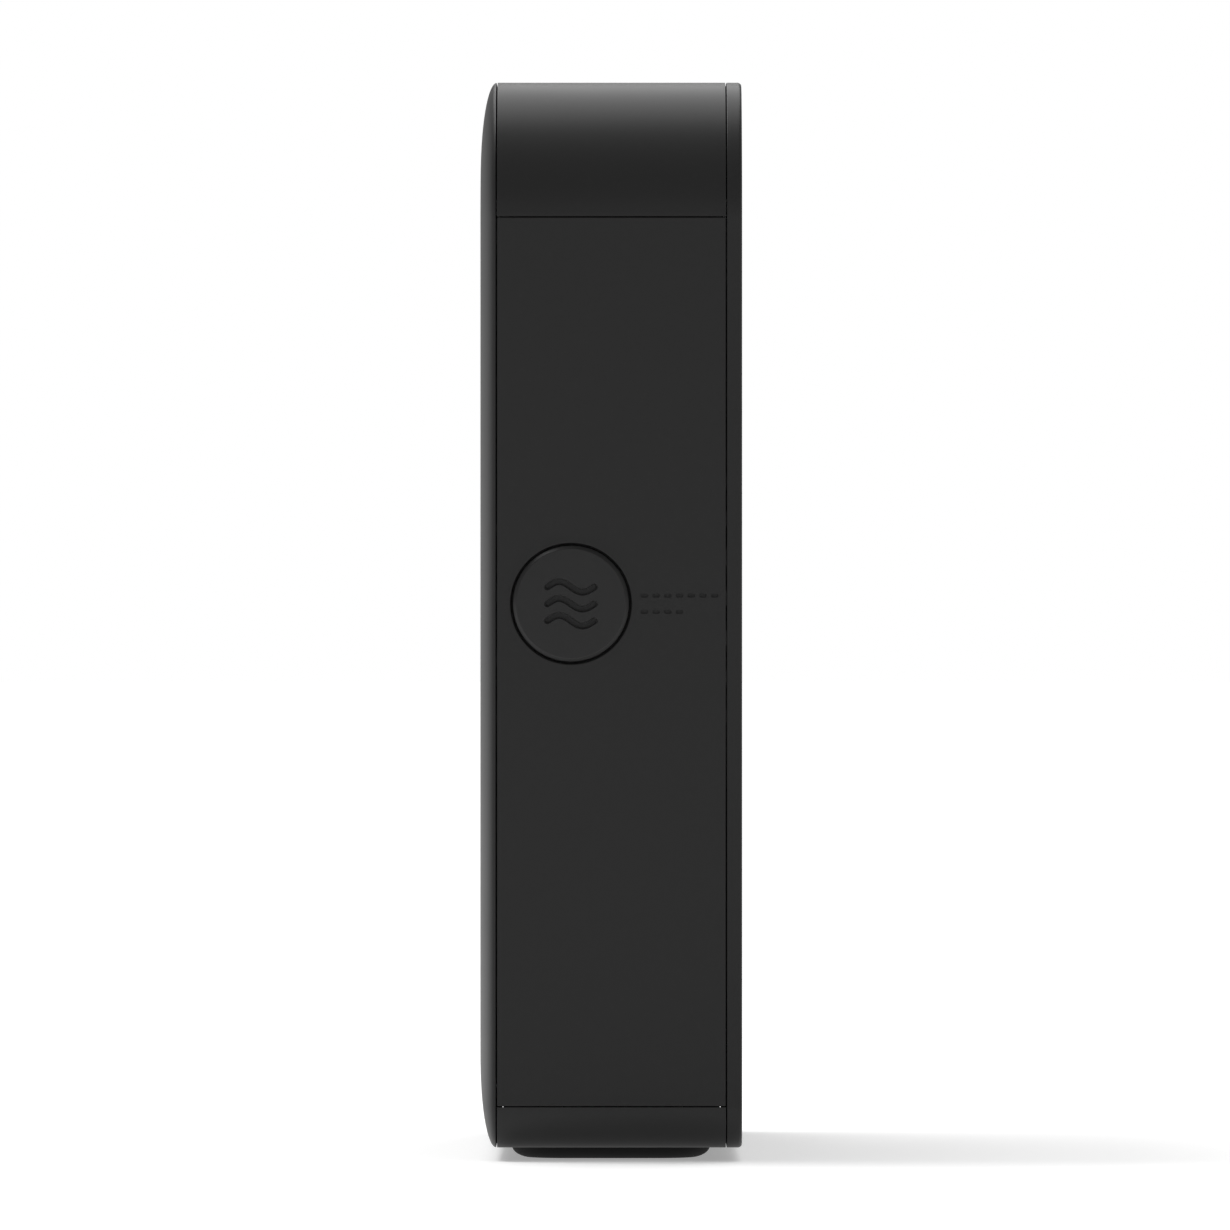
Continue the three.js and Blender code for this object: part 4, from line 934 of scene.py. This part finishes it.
def inlet_pins():
    bm = bmesh.new()
    profile = filleted(
        [(PIN_BACK, 0, 0), (PIN_BACK, PIN_R, 0), (PIN_FRONT, PIN_R, PIN_DOME), (PIN_FRONT, 0, 0)]
    )
    for side in (-1, 1):
        turned(bm, profile, (0, side * PIN_OFFSET, INLET_Z), sides=32)
    piece("power_inlet_pins", bm, "frame", STEEL, "steel")


power_inlet()
inlet_pins()

# %% Screws
SCREW_HEAD = 1.5 * MM
SCREW_SOFT = 0.5 * MM
CROSS_R = 1.9 * MM  # half the span of the cross recess
CROSS_WIDTH = 0.8 * MM
CROSS_DEPTH, CROSS_TAPER = 0.9 * MM, 0.72


def screw(body, screw_name):
    """A pan-head screw along X whose head faces the rear, in the place of a CAD screw."""
    low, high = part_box(screw_name)
    y, z = (low.y + high.y) / 2, (low.z + high.z) / 2
    head_r, head = (high.z - low.z) / 2, high.x - SCREW_HEAD
    bm = bmesh.new()

    def loop(x, radius):
        return circle(bm, (x, y, z), radius, sides=40)

    *rim, face = [loop(high.x - depth, head_r - inset) for depth, inset in rolled(SCREW_SOFT, 4)]
    under, neck = loop(head, head_r), loop(head, SCREW_R)
    tip = [loop(low.x + SCREW_SOFT, SCREW_R), loop(low.x, SCREW_R - SCREW_SOFT)]
    a, b = CROSS_R, CROSS_WIDTH / 2
    arm = [(a, -b), (a, b), (b, b)]
    plan = [(u, v) for u, v in arm] + [(-v, u) for u, v in arm]
    plan += [(-u, -v) for u, v in arm] + [(v, -u) for u, v in arm]
    cross = [
        outlined(bm, [(x, y + share * u, z + share * v) for u, v in plan])
        for x, share in ((high.x, 1), (high.x - CROSS_DEPTH, CROSS_TAPER))
    ]
    fill(bm, face, cross[0])
    bridge(bm, cross)
    fill(bm, cross[1])
    bridge(bm, [under] + rim + [face])
    fill(bm, under, neck)
    bridge(bm, [neck] + tip)
    fill(bm, tip[1])
    piece(f"{screw_name}_body", bm, body, STEEL, "steel", screw_name, sharp_at=35)


for number in (1, 2, 3, 4):
    screw("frame", f"cover_screw_{number}")
    screw("head", f"ring_screw_{number}")
for number in (1, 2, 3):
    screw("head", f"motor_screw_{number}")

# %% [markdown]
# ## Liner and pivots
# A round tunnel lines the opening and carries the pivots. On each side a boss holds a nylon bush,
# and a hollow steel pin, fixed to the head, turns in it. A washer and a clip outside the boss
# press the parts together, and their friction holds the head at any tilt. The bosses and bores
# cross a round wall, which no spin can make, so they are joined and cut with booleans.

# %% Booleans
def scratch(bm):
    """A passing object that holds a bmesh."""
    mesh = bpy.data.meshes.new("scratch")
    bmesh.ops.recalc_face_normals(bm, faces=bm.faces)
    bm.to_mesh(mesh)
    bm.free()
    made = bpy.data.objects.new("scratch", mesh)
    bpy.context.scene.collection.objects.link(made)
    return made


def combined(base, steps):
    """Joins to a bmesh, or cuts from it, other bmeshes. Gives a new bmesh."""
    whole = scratch(base)
    tools = []
    for operation, tool in steps:
        tools.append(scratch(tool))
        modifier = whole.modifiers.new("boolean", "BOOLEAN")
        modifier.operation, modifier.object, modifier.solver = operation, tools[-1], "EXACT"
    depsgraph = bpy.context.evaluated_depsgraph_get()
    result = bmesh.new()
    result.from_mesh(whole.evaluated_get(depsgraph).to_mesh())
    for done in [whole] + tools:
        mesh = done.data
        bpy.data.objects.remove(done)
        bpy.data.meshes.remove(mesh)
    return result


def bar_y(y0, y1, radius, sides=96):
    """A round bar on the tilt axis."""
    bm = bmesh.new()
    turned(bm, [(y0, 0), (y0, radius), (y1, radius), (y1, 0)], HEAD, "Y", sides)
    return bm


# %% Liner, bushes, washers, clips and pins
BOSS_R = 15 * MM
BOSS_END = OPENING_R + 10 * MM
BUSH_SEAT_R = 8.8 * MM
LINER_SOFT = 0.5 * MM


def liner():
    tube = bmesh.new()
    inside, outside, soft = OPENING_R, OPENING_R + WALL, LINER_SOFT
    profile = [(BAND_FRONT, outside, soft), (BAND_FRONT, inside, soft)]
    profile += [(BAND_REAR, inside, soft), (BAND_REAR, outside, soft)]
    turned(tube, filleted(profile, closed=True, steps=3), closed=True)
    steps = [("UNION", bar_y(side * (inside - MM), side * BOSS_END, BOSS_R)) for side in (-1, 1)]
    hollow = bmesh.new()
    turned(hollow, [(FRONT, 0), (FRONT, inside), (REAR, inside), (REAR, 0)])
    steps.append(("DIFFERENCE", hollow))
    steps.append(("DIFFERENCE", bar_y(-2 * HALF_WIDTH, 2 * HALF_WIDTH, BUSH_SEAT_R)))
    bm = combined(tube, steps)
    piece("liner_ring_tunnel", bm, "frame", FRAME_PLASTIC, "frame_plastic", "liner_ring")


def pivot_pair(name, body, finish, slot, bore_r, soft, flange=None, neck_r=None):
    """A turned piece for each pivot: a plain ring, or a neck with a flange at its inner end."""
    low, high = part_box(f"{name}_right")
    rim_r = (high.z - low.z) / 2
    section = [(low.y, bore_r), (low.y, rim_r)]
    if flange:
        section += [(low.y + flange, rim_r), (low.y + flange, neck_r), (high.y, neck_r)]
    else:
        section += [(high.y, rim_r)]
    section.append((high.y, bore_r))
    for side, which in ((-1, "left"), (1, "right")):
        bm = bmesh.new()
        corners = [(side * y, r, soft) for y, r in section]
        turned(bm, filleted(corners, closed=True, steps=3), HEAD, "Y", 96, closed=True)
        piece(f"{name}_{which}_turned", bm, body, finish, slot, f"{name}_{which}")


liner()
pivot_pair(
    "pivot_bush", "frame", NYLON, "nylon", 6.1 * MM, 0.3 * MM, flange=2.8 * MM, neck_r=8.5 * MM
)
pivot_pair("friction_washer", "frame", RUBBER, "rubber", 6.3 * MM, 0.2 * MM)
pivot_pair("pivot_clip", "head", STEEL, "steel", 6.3 * MM, 0.2 * MM)
pivot_pair("pivot_pin", "head", STEEL, "steel", 3.5 * MM, 0.3 * MM, flange=3.5 * MM, neck_r=6 * MM)

# %% [markdown]
# ## Front ring
# The head's front edge is a turned ring with a broad rounding towards the front. It carries the
# grille on an inner flange. Lengths on the head are measured along its axis from the tilt axis.
# Four bosses behind the flange take the screws that hold the ring to the rear shell.

# %% Ring
HEAD_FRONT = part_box("front_grille")[0].x - PIVOT_X
HEAD_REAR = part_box("rear_shell")[1].x - PIVOT_X
RING_FRONT, PARTING = (corner.x - PIVOT_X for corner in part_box("front_ring"))
HEAD_R = (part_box("front_ring")[1].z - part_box("front_ring")[0].z) / 2
RING_ROUNDING = 4.2 * MM
SEAT_R = HEAD_R - 6.1 * MM
FLANGE_R = SEAT_R - 4.4 * MM
FLANGE_FRONT, FLANGE_BACK = RING_FRONT + 4 * MM, RING_FRONT + 6 * MM
INSIDE_R = HEAD_R - WALL
BOSS_RADIUS = 5.2 * MM
RING_SCREWS = [
    ((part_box(f"ring_screw_{k}")[0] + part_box(f"ring_screw_{k}")[1]) / 2 - HEAD) * Vector((0, 1, 1))
    for k in (1, 2, 3, 4)
]


def front_ring():
    bm = bmesh.new()
    section = [
        (PARTING, HEAD_R - 0.3 * MM, EDGE), (PARTING - 3.1 * MM, HEAD_R, 0),
        (RING_FRONT, HEAD_R, RING_ROUNDING), (RING_FRONT, SEAT_R, 0.4 * MM),
        (FLANGE_FRONT, SEAT_R, 0), (FLANGE_FRONT, FLANGE_R, EDGE), (FLANGE_BACK, FLANGE_R, EDGE),
        (FLANGE_BACK, INSIDE_R, 0), (PARTING, INSIDE_R, 0),
    ]
    turned(bm, filleted(section, closed=True, steps=8), HEAD, closed=True)
    for place in RING_SCREWS:
        bored_post(bm, HEAD + place, FLANGE_BACK - 0.5 * MM, PARTING, FLANGE_BACK, BOSS_RADIUS)
    piece("front_ring_rim", bm, "head", HEAD_PLASTIC, "head_plastic", "front_ring")


front_ring()

# %% [markdown]
# ## Front grille
# Thirty-six vanes swirl out from a small disc. Each leaves the disc at a slant, runs nearly
# straight, bends back near its outer end, and wraps down over the shoulder to a low ring. A vane
# is one cross-section carried along a smooth line. The section's depth follows the surface: it
# points backwards on the face and inwards on the shoulder. Its crest is rounded, so that each
# vane shows as a pale line between dark gaps. The spin operator copies the vane round the disc.

# %% Vane line
GRILLE_R = SEAT_R - SEAM
VANES = 36
DISC_R = 28 * MM
# Stations of a vane's crest: millimetres from the tilt axis, radius, turn and lean in degrees.
VANE_STATIONS = [
    (-28.5, 25.5, 28.5, 0), (-28.6, 34, 19.5, 0), (-28.7, 46, 12.3, 0), (-28.75, 62.3, 6, 0),
    (-28.8, 82, 1.9, 0), (-28.8, 100, 0, 0), (-28.75, 108, 0.6, 2), (-28.4, 113.5, 2.9, 12),
    (-27.5, 117.2, 6.2, 32), (-25.6, 119.7, 9.4, 58), (-22.9, 121.0, 12.0, 82),
    (-19.4, 121.2, 14.4, 90),
]
VANE_STEPS = 4  # stations added between each pair
# Half width and depth of the section's corners, from one side to the crest, then the same back.
VANE_SIDE = [(1.05, 4.0), (1.0, 1.0), (0.82, 0.38), (0.42, 0.06)]
VANE_SECTION = [(-w, d) for w, d in VANE_SIDE] + [(0, 0)] + VANE_SIDE[::-1]


def smoothed(stations, steps):
    """A Catmull-Rom line through some stations."""
    line = []
    last = len(stations) - 1
    for i in range(last):
        before, here, ahead, after = (
            Vector(stations[min(max(k, 0), last)]) for k in (i - 1, i, i + 1, i + 2)
        )
        for step in range(steps):
            t = step / steps
            line.append(
                0.5 * (2 * here + (ahead - before) * t
                + (2 * before - 5 * here + 4 * ahead - after) * t * t
                + (3 * here - before - 3 * ahead + after) * t ** 3)
            )
    line.append(Vector(stations[-1]))
    return line


def around(x, r, degrees):
    """A point of the grille: along the axis, out from it, and turned anticlockwise from +Y."""
    angle = -math.radians(degrees)
    return HEAD + Vector((x, r * math.cos(angle), r * math.sin(angle)))


def skin(bm, rows, wrap=False):
    """Quads between rows of vertices."""
    for near, far in zip(rows, rows[1:]):
        count = len(near) if wrap else len(near) - 1
        for k in range(count):
            n = (k + 1) % len(near)
            bm.faces.new((near[k], near[n], far[n], far[k]))


def capped_skin(bm, rows):
    """A skin round closed rows, with a face at each end."""
    skin(bm, rows, wrap=True)
    bm.faces.new(rows[0])
    bm.faces.new(rows[-1])


def repeated(bm, count):
    """Copies what a bmesh holds round the head's axis, until there are count of it."""
    bmesh.ops.spin(
        bm, geom=bm.verts[:] + bm.edges[:] + bm.faces[:], cent=HEAD, axis=(1, 0, 0),
        dvec=(0, 0, 0), angle=2 * math.pi * (count - 1) / count, steps=count - 1,
        use_merge=False, use_normal_flip=False, use_duplicate=True,
    )


def vane(bm):
    line = smoothed(VANE_STATIONS, VANE_STEPS)
    crest = [around(x * MM, r * MM, degrees) for x, r, degrees, lean in line]
    rows = []
    for k, (x, r, degrees, lean) in enumerate(line):
        along = (crest[min(k + 1, len(crest) - 1)] - crest[max(k - 1, 0)]).normalized()
        out = (around(0, 1, degrees) - HEAD).normalized()
        lean = math.radians(lean)
        depth = Vector((math.cos(lean), 0, 0)) - out * math.sin(lean)
        across = along.cross(depth).normalized()
        wide = (1.0 + 0.25 * min(r / 110, 1)) * MM
        deep = (1.0 if r < 112 else 0.8) * MM
        section = [crest[k] + across * w * wide + depth * d * deep for w, d in VANE_SECTION]
        rows.append([bm.verts.new(point) for point in section])
    capped_skin(bm, rows)


# %% Grille
LOW_RING_DEPTH, LOW_RING_WIDTH = 4.2 * MM, 5 * MM
CAP_SEAT_R, CAP_SEAT_DEPTH = 22.3 * MM, 1.4 * MM
CAP_R, CAP_THICK, CAP_CROWN = 22 * MM, 1.1 * MM, 0.15 * MM


def front_grille():
    bm = bmesh.new()
    vane(bm)
    repeated(bm, VANES)
    back, inner_r = FLANGE_FRONT - SEAM, GRILLE_R - LOW_RING_WIDTH
    front = back - LOW_RING_DEPTH
    low = [(back, GRILLE_R, 0), (front, GRILLE_R, 1.8 * MM), (front, inner_r, 0.8 * MM)]
    low.append((back, inner_r, 0))
    turned(bm, filleted(low, closed=True, steps=6), HEAD, closed=True)
    back, seat = HEAD_FRONT + 4 * MM, HEAD_FRONT + CAP_SEAT_DEPTH
    disc = [(back, 0, 0), (back, DISC_R, 0.6 * MM), (HEAD_FRONT, DISC_R, 1.1 * MM)]
    disc += [(HEAD_FRONT, CAP_SEAT_R, 0.3 * MM), (seat, CAP_SEAT_R, 0), (seat, 0, 0)]
    turned(bm, filleted(disc, steps=5), HEAD)
    piece(
        "front_grille_vanes", bm, "head", HEAD_PLASTIC, "head_plastic", "front_grille", sharp_at=55
    )


def grille_cap():
    bm = bmesh.new()
    back = HEAD_FRONT + CAP_THICK
    profile = [(back, 0, 0), (back, CAP_R, 0), (HEAD_FRONT + CAP_CROWN, CAP_R, 0.4 * MM)]
    profile += [(HEAD_FRONT, 15 * MM, 0), (HEAD_FRONT, 0, 0)]
    turned(bm, filleted(profile, steps=4), HEAD)
    piece("grille_cap_disc", bm, "head", KNOB_PLASTIC, "head_plastic", "grille_cap", sharp_at=50)


front_grille()
grille_cap()

# %% [markdown]
# ## Rear shell
# The back of the head is a bowl with forty-eight slots. They run straight along its side and then
# swirl in over the corner to a closed centre that holds the motor. The bowl is laid out rib by
# rib on rows along its outer line. Where a slot is closed its two edges are one line, and where
# it opens they part along a round nose. Both skins and the slot walls are made in the same pass,
# and then every edge of the slots is rounded.

# %% Bowl line
SLOTS = 48
PITCH = 2 * math.pi / SLOTS
SLOT_HALF = PITCH * 0.62 / 2
NOSE = HEAD_R * SLOT_HALF
SLOT_START, SLOT_START_AT_PIVOT = 2 * MM, 14 * MM
SLOT_END_R, CENTRE_R = 50 * MM, 46 * MM
CORNER_X, CORNER_R, FLAT_R = 12.8 * MM, HEAD_R - 1.3 * MM, 71.4 * MM
CORNER_POWER = 2 / 2.3  # a corner a little fuller than an ellipse
CORNER_STATIONS = 60
TWIST = math.radians(14)
RIB_COLUMNS = 4
FREE_ROWS = 34  # rows between the slots' two noses
MOTOR_PLATE = 5 * MM
SLOT_SOFT = 0.7 * MM
SHELL_BOSS_FRONT = -5.2 * MM
PIN_BORE_R = 6.3 * MM


def bowl_line():
    """The bowl's outer line as points, with the length run at each."""
    points = [Vector((PARTING + SEAM, HEAD_R - 0.3 * MM)), Vector((7 * MM, HEAD_R - 0.9 * MM))]
    for angle in quarter(CORNER_STATIONS):
        x = CORNER_X + (HEAD_REAR - CORNER_X) * math.sin(angle) ** CORNER_POWER
        r = FLAT_R + (CORNER_R - FLAT_R) * max(math.cos(angle), 0) ** CORNER_POWER
        points.append(Vector((x, r)))
    points.append(Vector((HEAD_REAR, CENTRE_R)))
    runs = [0.0]
    for here, ahead in zip(points, points[1:]):
        runs.append(runs[-1] + (ahead - here).length)
    return points, runs


BOWL, RUNS = bowl_line()


def on_bowl(run):
    """The point at a length along the bowl's line, and the direction of the line there."""
    k = next((i for i in range(1, len(RUNS) - 1) if RUNS[i] >= run), len(RUNS) - 1)
    share = (run - RUNS[k - 1]) / (RUNS[k] - RUNS[k - 1])
    before, after = BOWL[max(k - 2, 0)], BOWL[min(k + 1, len(BOWL) - 1)]
    return BOWL[k - 1].lerp(BOWL[k], share), (after - before).normalized()


def run_at_x(x):
    """The length run along the bowl's line where it passes a place on the axis."""
    k = next(i for i in range(1, len(BOWL)) if BOWL[i].x >= x)
    share = (x - BOWL[k - 1].x) / (BOWL[k].x - BOWL[k - 1].x)
    return RUNS[k - 1] + (RUNS[k] - RUNS[k - 1]) * share


END_RUN = RUNS[-1] - (SLOT_END_R - CENTRE_R)
END_NOSE = SLOT_END_R * SLOT_HALF
START_RUNS = [run_at_x(SLOT_START), run_at_x(SLOT_START_AT_PIVOT)]


def slot_half(slot, run):
    """Half the angle that a slot leaves open at a length along the line."""
    quarter_turn = SLOTS // 4
    at_pivot = abs(slot % (2 * quarter_turn) - quarter_turn) < 2
    into = run - START_RUNS[at_pivot]
    left = END_RUN - run
    share = min(max(into, 0) / NOSE, max(left, 0) / END_NOSE, 1)
    return 0.0 if into < 1e-7 or left < 1e-7 else SLOT_HALF * math.sqrt(1 - (1 - share) ** 2)


def bowl_rows():
    """The lengths along the line that have a row of vertices: close together in the noses."""
    rows = {0.0, RUNS[-1]}
    for a in quarter(6):
        rows |= {start + NOSE * (1 - math.cos(a)) for start in START_RUNS}
        rows.add(END_RUN - END_NOSE * (1 - math.cos(a)))
    free = START_RUNS[1] + NOSE
    rows |= {free + (END_RUN - END_NOSE - free) * k / FREE_ROWS for k in range(1, FREE_ROWS)}
    ordered = sorted(rows)
    return [run for i, run in enumerate(ordered) if i == 0 or run - ordered[i - 1] > 1e-7]


# %% Ribs of the shell
def rib_grids(bm, rib, runs):
    """Rows of vertices on one rib: the outer skin's, then the inner skin's."""
    outer, inner = [], []
    for run in runs:
        point, way = on_bowl(run)
        twist = TWIST * max((CORNER_R - point.y) / (CORNER_R - SLOT_END_R), 0)
        low = rib * PITCH + slot_half(rib, run) + twist
        high = (rib + 1) * PITCH - slot_half(rib + 1, run) + twist
        angles = [low + (high - low) * c / RIB_COLUMNS for c in range(RIB_COLUMNS + 1)]
        for rows, (x, r) in ((outer, point), (inner, point + Vector((way.y, -way.x)) * WALL)):
            places = [HEAD + Vector((x, r * math.sin(a), r * math.cos(a))) for a in angles]
            rows.append([bm.verts.new(place) for place in places])
    return outer, inner


def slot_walls(bm, rib, runs, outer, inner):
    """The two walls of a rib, where the slots beside it are open."""
    for side, slot in ((0, rib), (-1, rib + 1)):
        for k, (run, ahead) in enumerate(zip(runs, runs[1:])):
            if slot_half(slot, run) or slot_half(slot, ahead):
                near = (outer[k][side], inner[k][side])
                far = (inner[k + 1][side], outer[k + 1][side])
                bm.faces.new(near + far)


def soften_slots(bm):
    bmesh.ops.recalc_face_normals(bm, faces=bm.faces)
    sharp = [
        e for e in bm.edges
        if len(e.link_faces) == 2 and e.calc_face_angle() > math.radians(50)
        and e.verts[0].co.x - HEAD.x > PARTING + MM
    ]
    bmesh.ops.bevel(
        bm, geom=sharp, offset=SLOT_SOFT, affect="EDGES", segments=2, profile=0.5, material=-1,
        clamp_overlap=True,
    )


# %% Rear shell
def rear_shell():
    bm = bmesh.new()
    runs = bowl_rows()
    rims = [], []
    for rib in range(SLOTS):
        grids = rib_grids(bm, rib, runs)
        for rows, rim in zip(grids, rims):
            skin(bm, rows)
            rim += rows[-1]
        slot_walls(bm, rib, runs, *grids)
        skin(bm, [rows[0] for rows in grids])
    bmesh.ops.remove_doubles(bm, verts=bm.verts, dist=0.002 * MM)
    outer_rim, inner_rim = (edges_of([v for v in rim if v.is_valid]) for rim in rims)
    soften_slots(bm)
    face, pad = HEAD.x + HEAD_REAR, HEAD.x + HEAD_REAR - MOTOR_PLATE
    holes = []
    for k in (1, 2, 3):
        low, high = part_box(f"motor_screw_{k}")
        holes.append(counterbore(bm, (low.y + high.y) / 2, (low.z + high.z) / 2, face, pad))
    fill(bm, outer_rim, *[hole[0] for hole in holes])
    pad_rim = circle(bm, (pad, 0, HEAD.z), CENTRE_R - MM)
    bridge(bm, [inner_rim, pad_rim])
    fill(bm, pad_rim, *[hole[3] for hole in holes])
    bored(bm, holes)
    bm = combined(bm, [("DIFFERENCE", bar_y(-HEAD_R - MM, HEAD_R + MM, PIN_BORE_R, sides=64))])
    start = PARTING + SEAM
    for place in RING_SCREWS:
        bored_post(bm, HEAD + place, start, SHELL_BOSS_FRONT, start + 0.2 * MM, BOSS_RADIUS)
    piece("rear_shell_bowl", bm, "head", HEAD_PLASTIC, "head_plastic", "rear_shell", sharp_at=50)


rear_shell()

# %% [markdown]
# ## Fan
# Five broad blades stand on a hollow hub whose nose is rounded. A blade is a thin curved plate:
# wide at its root, swept back and flatter towards its tip. It is laid out as closed sections from
# root to tip, and each section thins towards both of its edges. The blades are one moulding with
# the hub, on a steel shaft, held by a cap nut.

# %% Blades
BLADES = 5
HUB_R = 36 * MM
FAN_FRONT, FAN_REAR = -20.8 * MM, 12.1 * MM
TIP_R = 111.9 * MM
BLADE_THICK = 2 * MM
BLADE_ROOT_R = HUB_R - 1.5 * MM
BLADE_STATIONS, BLADE_CHORD = 22, 20
HUB_WALL = 2.5 * MM
SHAFT_BORE_R = SPINDLE_R + SEAM
SLEEVE_R = 8 * MM  # round the shaft, inside the hub
NUT_R = 8.5 * MM


def blade(bm):
    depth, middle = FAN_REAR - FAN_FRONT, (FAN_FRONT + FAN_REAR) / 2
    rows = []
    for k in range(BLADE_STATIONS + 1):
        out = k / BLADE_STATIONS
        r = BLADE_ROOT_R + (TIP_R - BLADE_ROOT_R) * out
        half_span = math.radians(26 + 9 * out - 10 * out ** 3)
        half_depth = depth / 2 * (0.92 - 0.34 * out)
        sweep = -math.radians(12) * out

        def place(share, side):
            angle = sweep + share * half_span
            camber = 0.16 * depth * (1 - share * share) * (1 - 0.3 * out)
            thin = math.sqrt(max(1 - abs(share) ** 8, 0.02)) * (1 - 25 * max(out - 0.97, 0))
            x = middle + share * half_depth + camber + side * BLADE_THICK / 2 * thin
            return HEAD + Vector((x, r * math.sin(angle), r * math.cos(angle)))

        turns = [math.pi * (i / BLADE_CHORD - 0.5) for i in range(BLADE_CHORD + 1)]
        points = [place(math.sin(turn), -1) for turn in turns]
        points += [place(math.sin(turn), 1) for turn in reversed(turns)]
        rows.append([bm.verts.new(point) for point in points])
    capped_skin(bm, rows)


def fan():
    bm = bmesh.new()
    blade(bm)
    repeated(bm, BLADES)
    nose, inner_r = FAN_FRONT + 4 * MM, HUB_R - HUB_WALL
    hub = [
        (FAN_FRONT, SHAFT_BORE_R, 0), (FAN_FRONT, HUB_R - 13 * MM, 9 * MM),
        (FAN_FRONT + 5 * MM, HUB_R, 5 * MM), (FAN_REAR, HUB_R, 0.6 * MM),
        (FAN_REAR, inner_r, 0.6 * MM), (FAN_FRONT + 8 * MM, inner_r, 2 * MM),
        (nose, HUB_R - 12 * MM, 2 * MM), (nose, SLEEVE_R, 0), (FAN_REAR, SLEEVE_R, 0),
        (FAN_REAR, SHAFT_BORE_R, 0),
    ]
    turned(bm, filleted(hub, closed=True), HEAD, sides=128, closed=True)
    piece("fan_blades_moulding", bm, "fan", BLADE_PLASTIC, "black_plastic", "fan_blades")


def cap_nut():
    bm = bmesh.new()
    low, high = (corner.x - PIVOT_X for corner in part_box("blade_nut"))
    thread_end = FAN_FRONT - 2 * MM - SEAM
    profile = [
        (low, 0, 0), (low, 5.5 * MM, 1 * MM), (low + 1.6 * MM, NUT_R, 0.8 * MM),
        (high, NUT_R, EDGE), (high, SHAFT_BORE_R, 0), (thread_end, SHAFT_BORE_R, 0),
        (thread_end, 0, 0),
    ]
    turned(bm, filleted(profile, steps=4), HEAD, sides=64)
    piece("blade_nut_cap", bm, "fan", BLADE_PLASTIC, "black_plastic", "blade_nut")


fan()
cap_nut()

# %% [markdown]
# ## Motor
# The motor is a cast can on the inside of the shell's closed centre. Twenty-four shallow cooling
# grooves run along its side. The winding, rotor, bearings and shaft inside it never show, and
# neither do the boards and the switch in the frame. They could be modelled finely too, but their
# CAD shapes are true enough for what nobody sees, so they only get a material.

# %% Motor housing
MOTOR_LOW, MOTOR_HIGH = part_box("motor_housing")
MOTOR_FRONT, MOTOR_REAR = MOTOR_LOW.x - PIVOT_X, MOTOR_HIGH.x - PIVOT_X
MOTOR_R = (MOTOR_HIGH.z - MOTOR_LOW.z) / 2
BEARING_SEAT_R = 8 * MM
END_PLATE = 6 * MM
GROOVES, GROOVE_DEPTH = 24, 0.8 * MM
GROOVE_SHARE = 0.4  # of the way from one groove to the next
MOTOR_WALL = 3 * MM


def motor_housing():
    bm = bmesh.new()
    inside = MOTOR_R - MOTOR_WALL
    front, rear = MOTOR_FRONT + END_PLATE, MOTOR_REAR - END_PLATE
    profile = filleted([
        (MOTOR_FRONT, BEARING_SEAT_R, 0.4 * MM), (MOTOR_FRONT, MOTOR_R, 4 * MM),
        (MOTOR_REAR, MOTOR_R, 0.8 * MM), (MOTOR_REAR, BEARING_SEAT_R, 0.4 * MM),
        (rear, BEARING_SEAT_R, 0), (rear, inside, 0), (front, inside, 0),
        (front, BEARING_SEAT_R, 0),
    ], closed=True, steps=8)
    turned(bm, profile, HEAD, sides=GROOVES * 8, closed=True)
    for vert in bm.verts:
        local = vert.co - HEAD
        r = math.hypot(local.y, local.z)
        if r > MOTOR_R - HAIR and local.x > MOTOR_FRONT + MOTOR_WALL:
            phase = math.atan2(local.y, local.z) * GROOVES / (2 * math.pi) % 1
            if phase > 1 - GROOVE_SHARE:
                vert.co -= Vector((0, local.y, local.z)) / r * GROOVE_DEPTH
    piece("motor_housing_can", bm, "head", CAST_ALUMINIUM, "cast_aluminium", "motor_housing")


motor_housing()

# %% Materials of the hidden works
HIDDEN_WORKS = [
    (BOARD, ("power_board", "control_board")),
    (SOCKET_PLASTIC, ("rotary_switch",)),
    (COPPER, ("motor_stator",)),
    (STEEL, ("switch_spindle", "motor_bearing_front", "motor_bearing_rear", "motor_rotor")),
    (STEEL, ("motor_shaft",)),
]
for finish, names in HIDDEN_WORKS:
    for name in names:
        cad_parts[name].data.materials.clear()
        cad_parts[name].data.materials.append(finish)
hidden = {name for name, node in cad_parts.items() if node.hide_render}
print("CAD nodes that show:", sorted(set(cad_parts) - hidden))
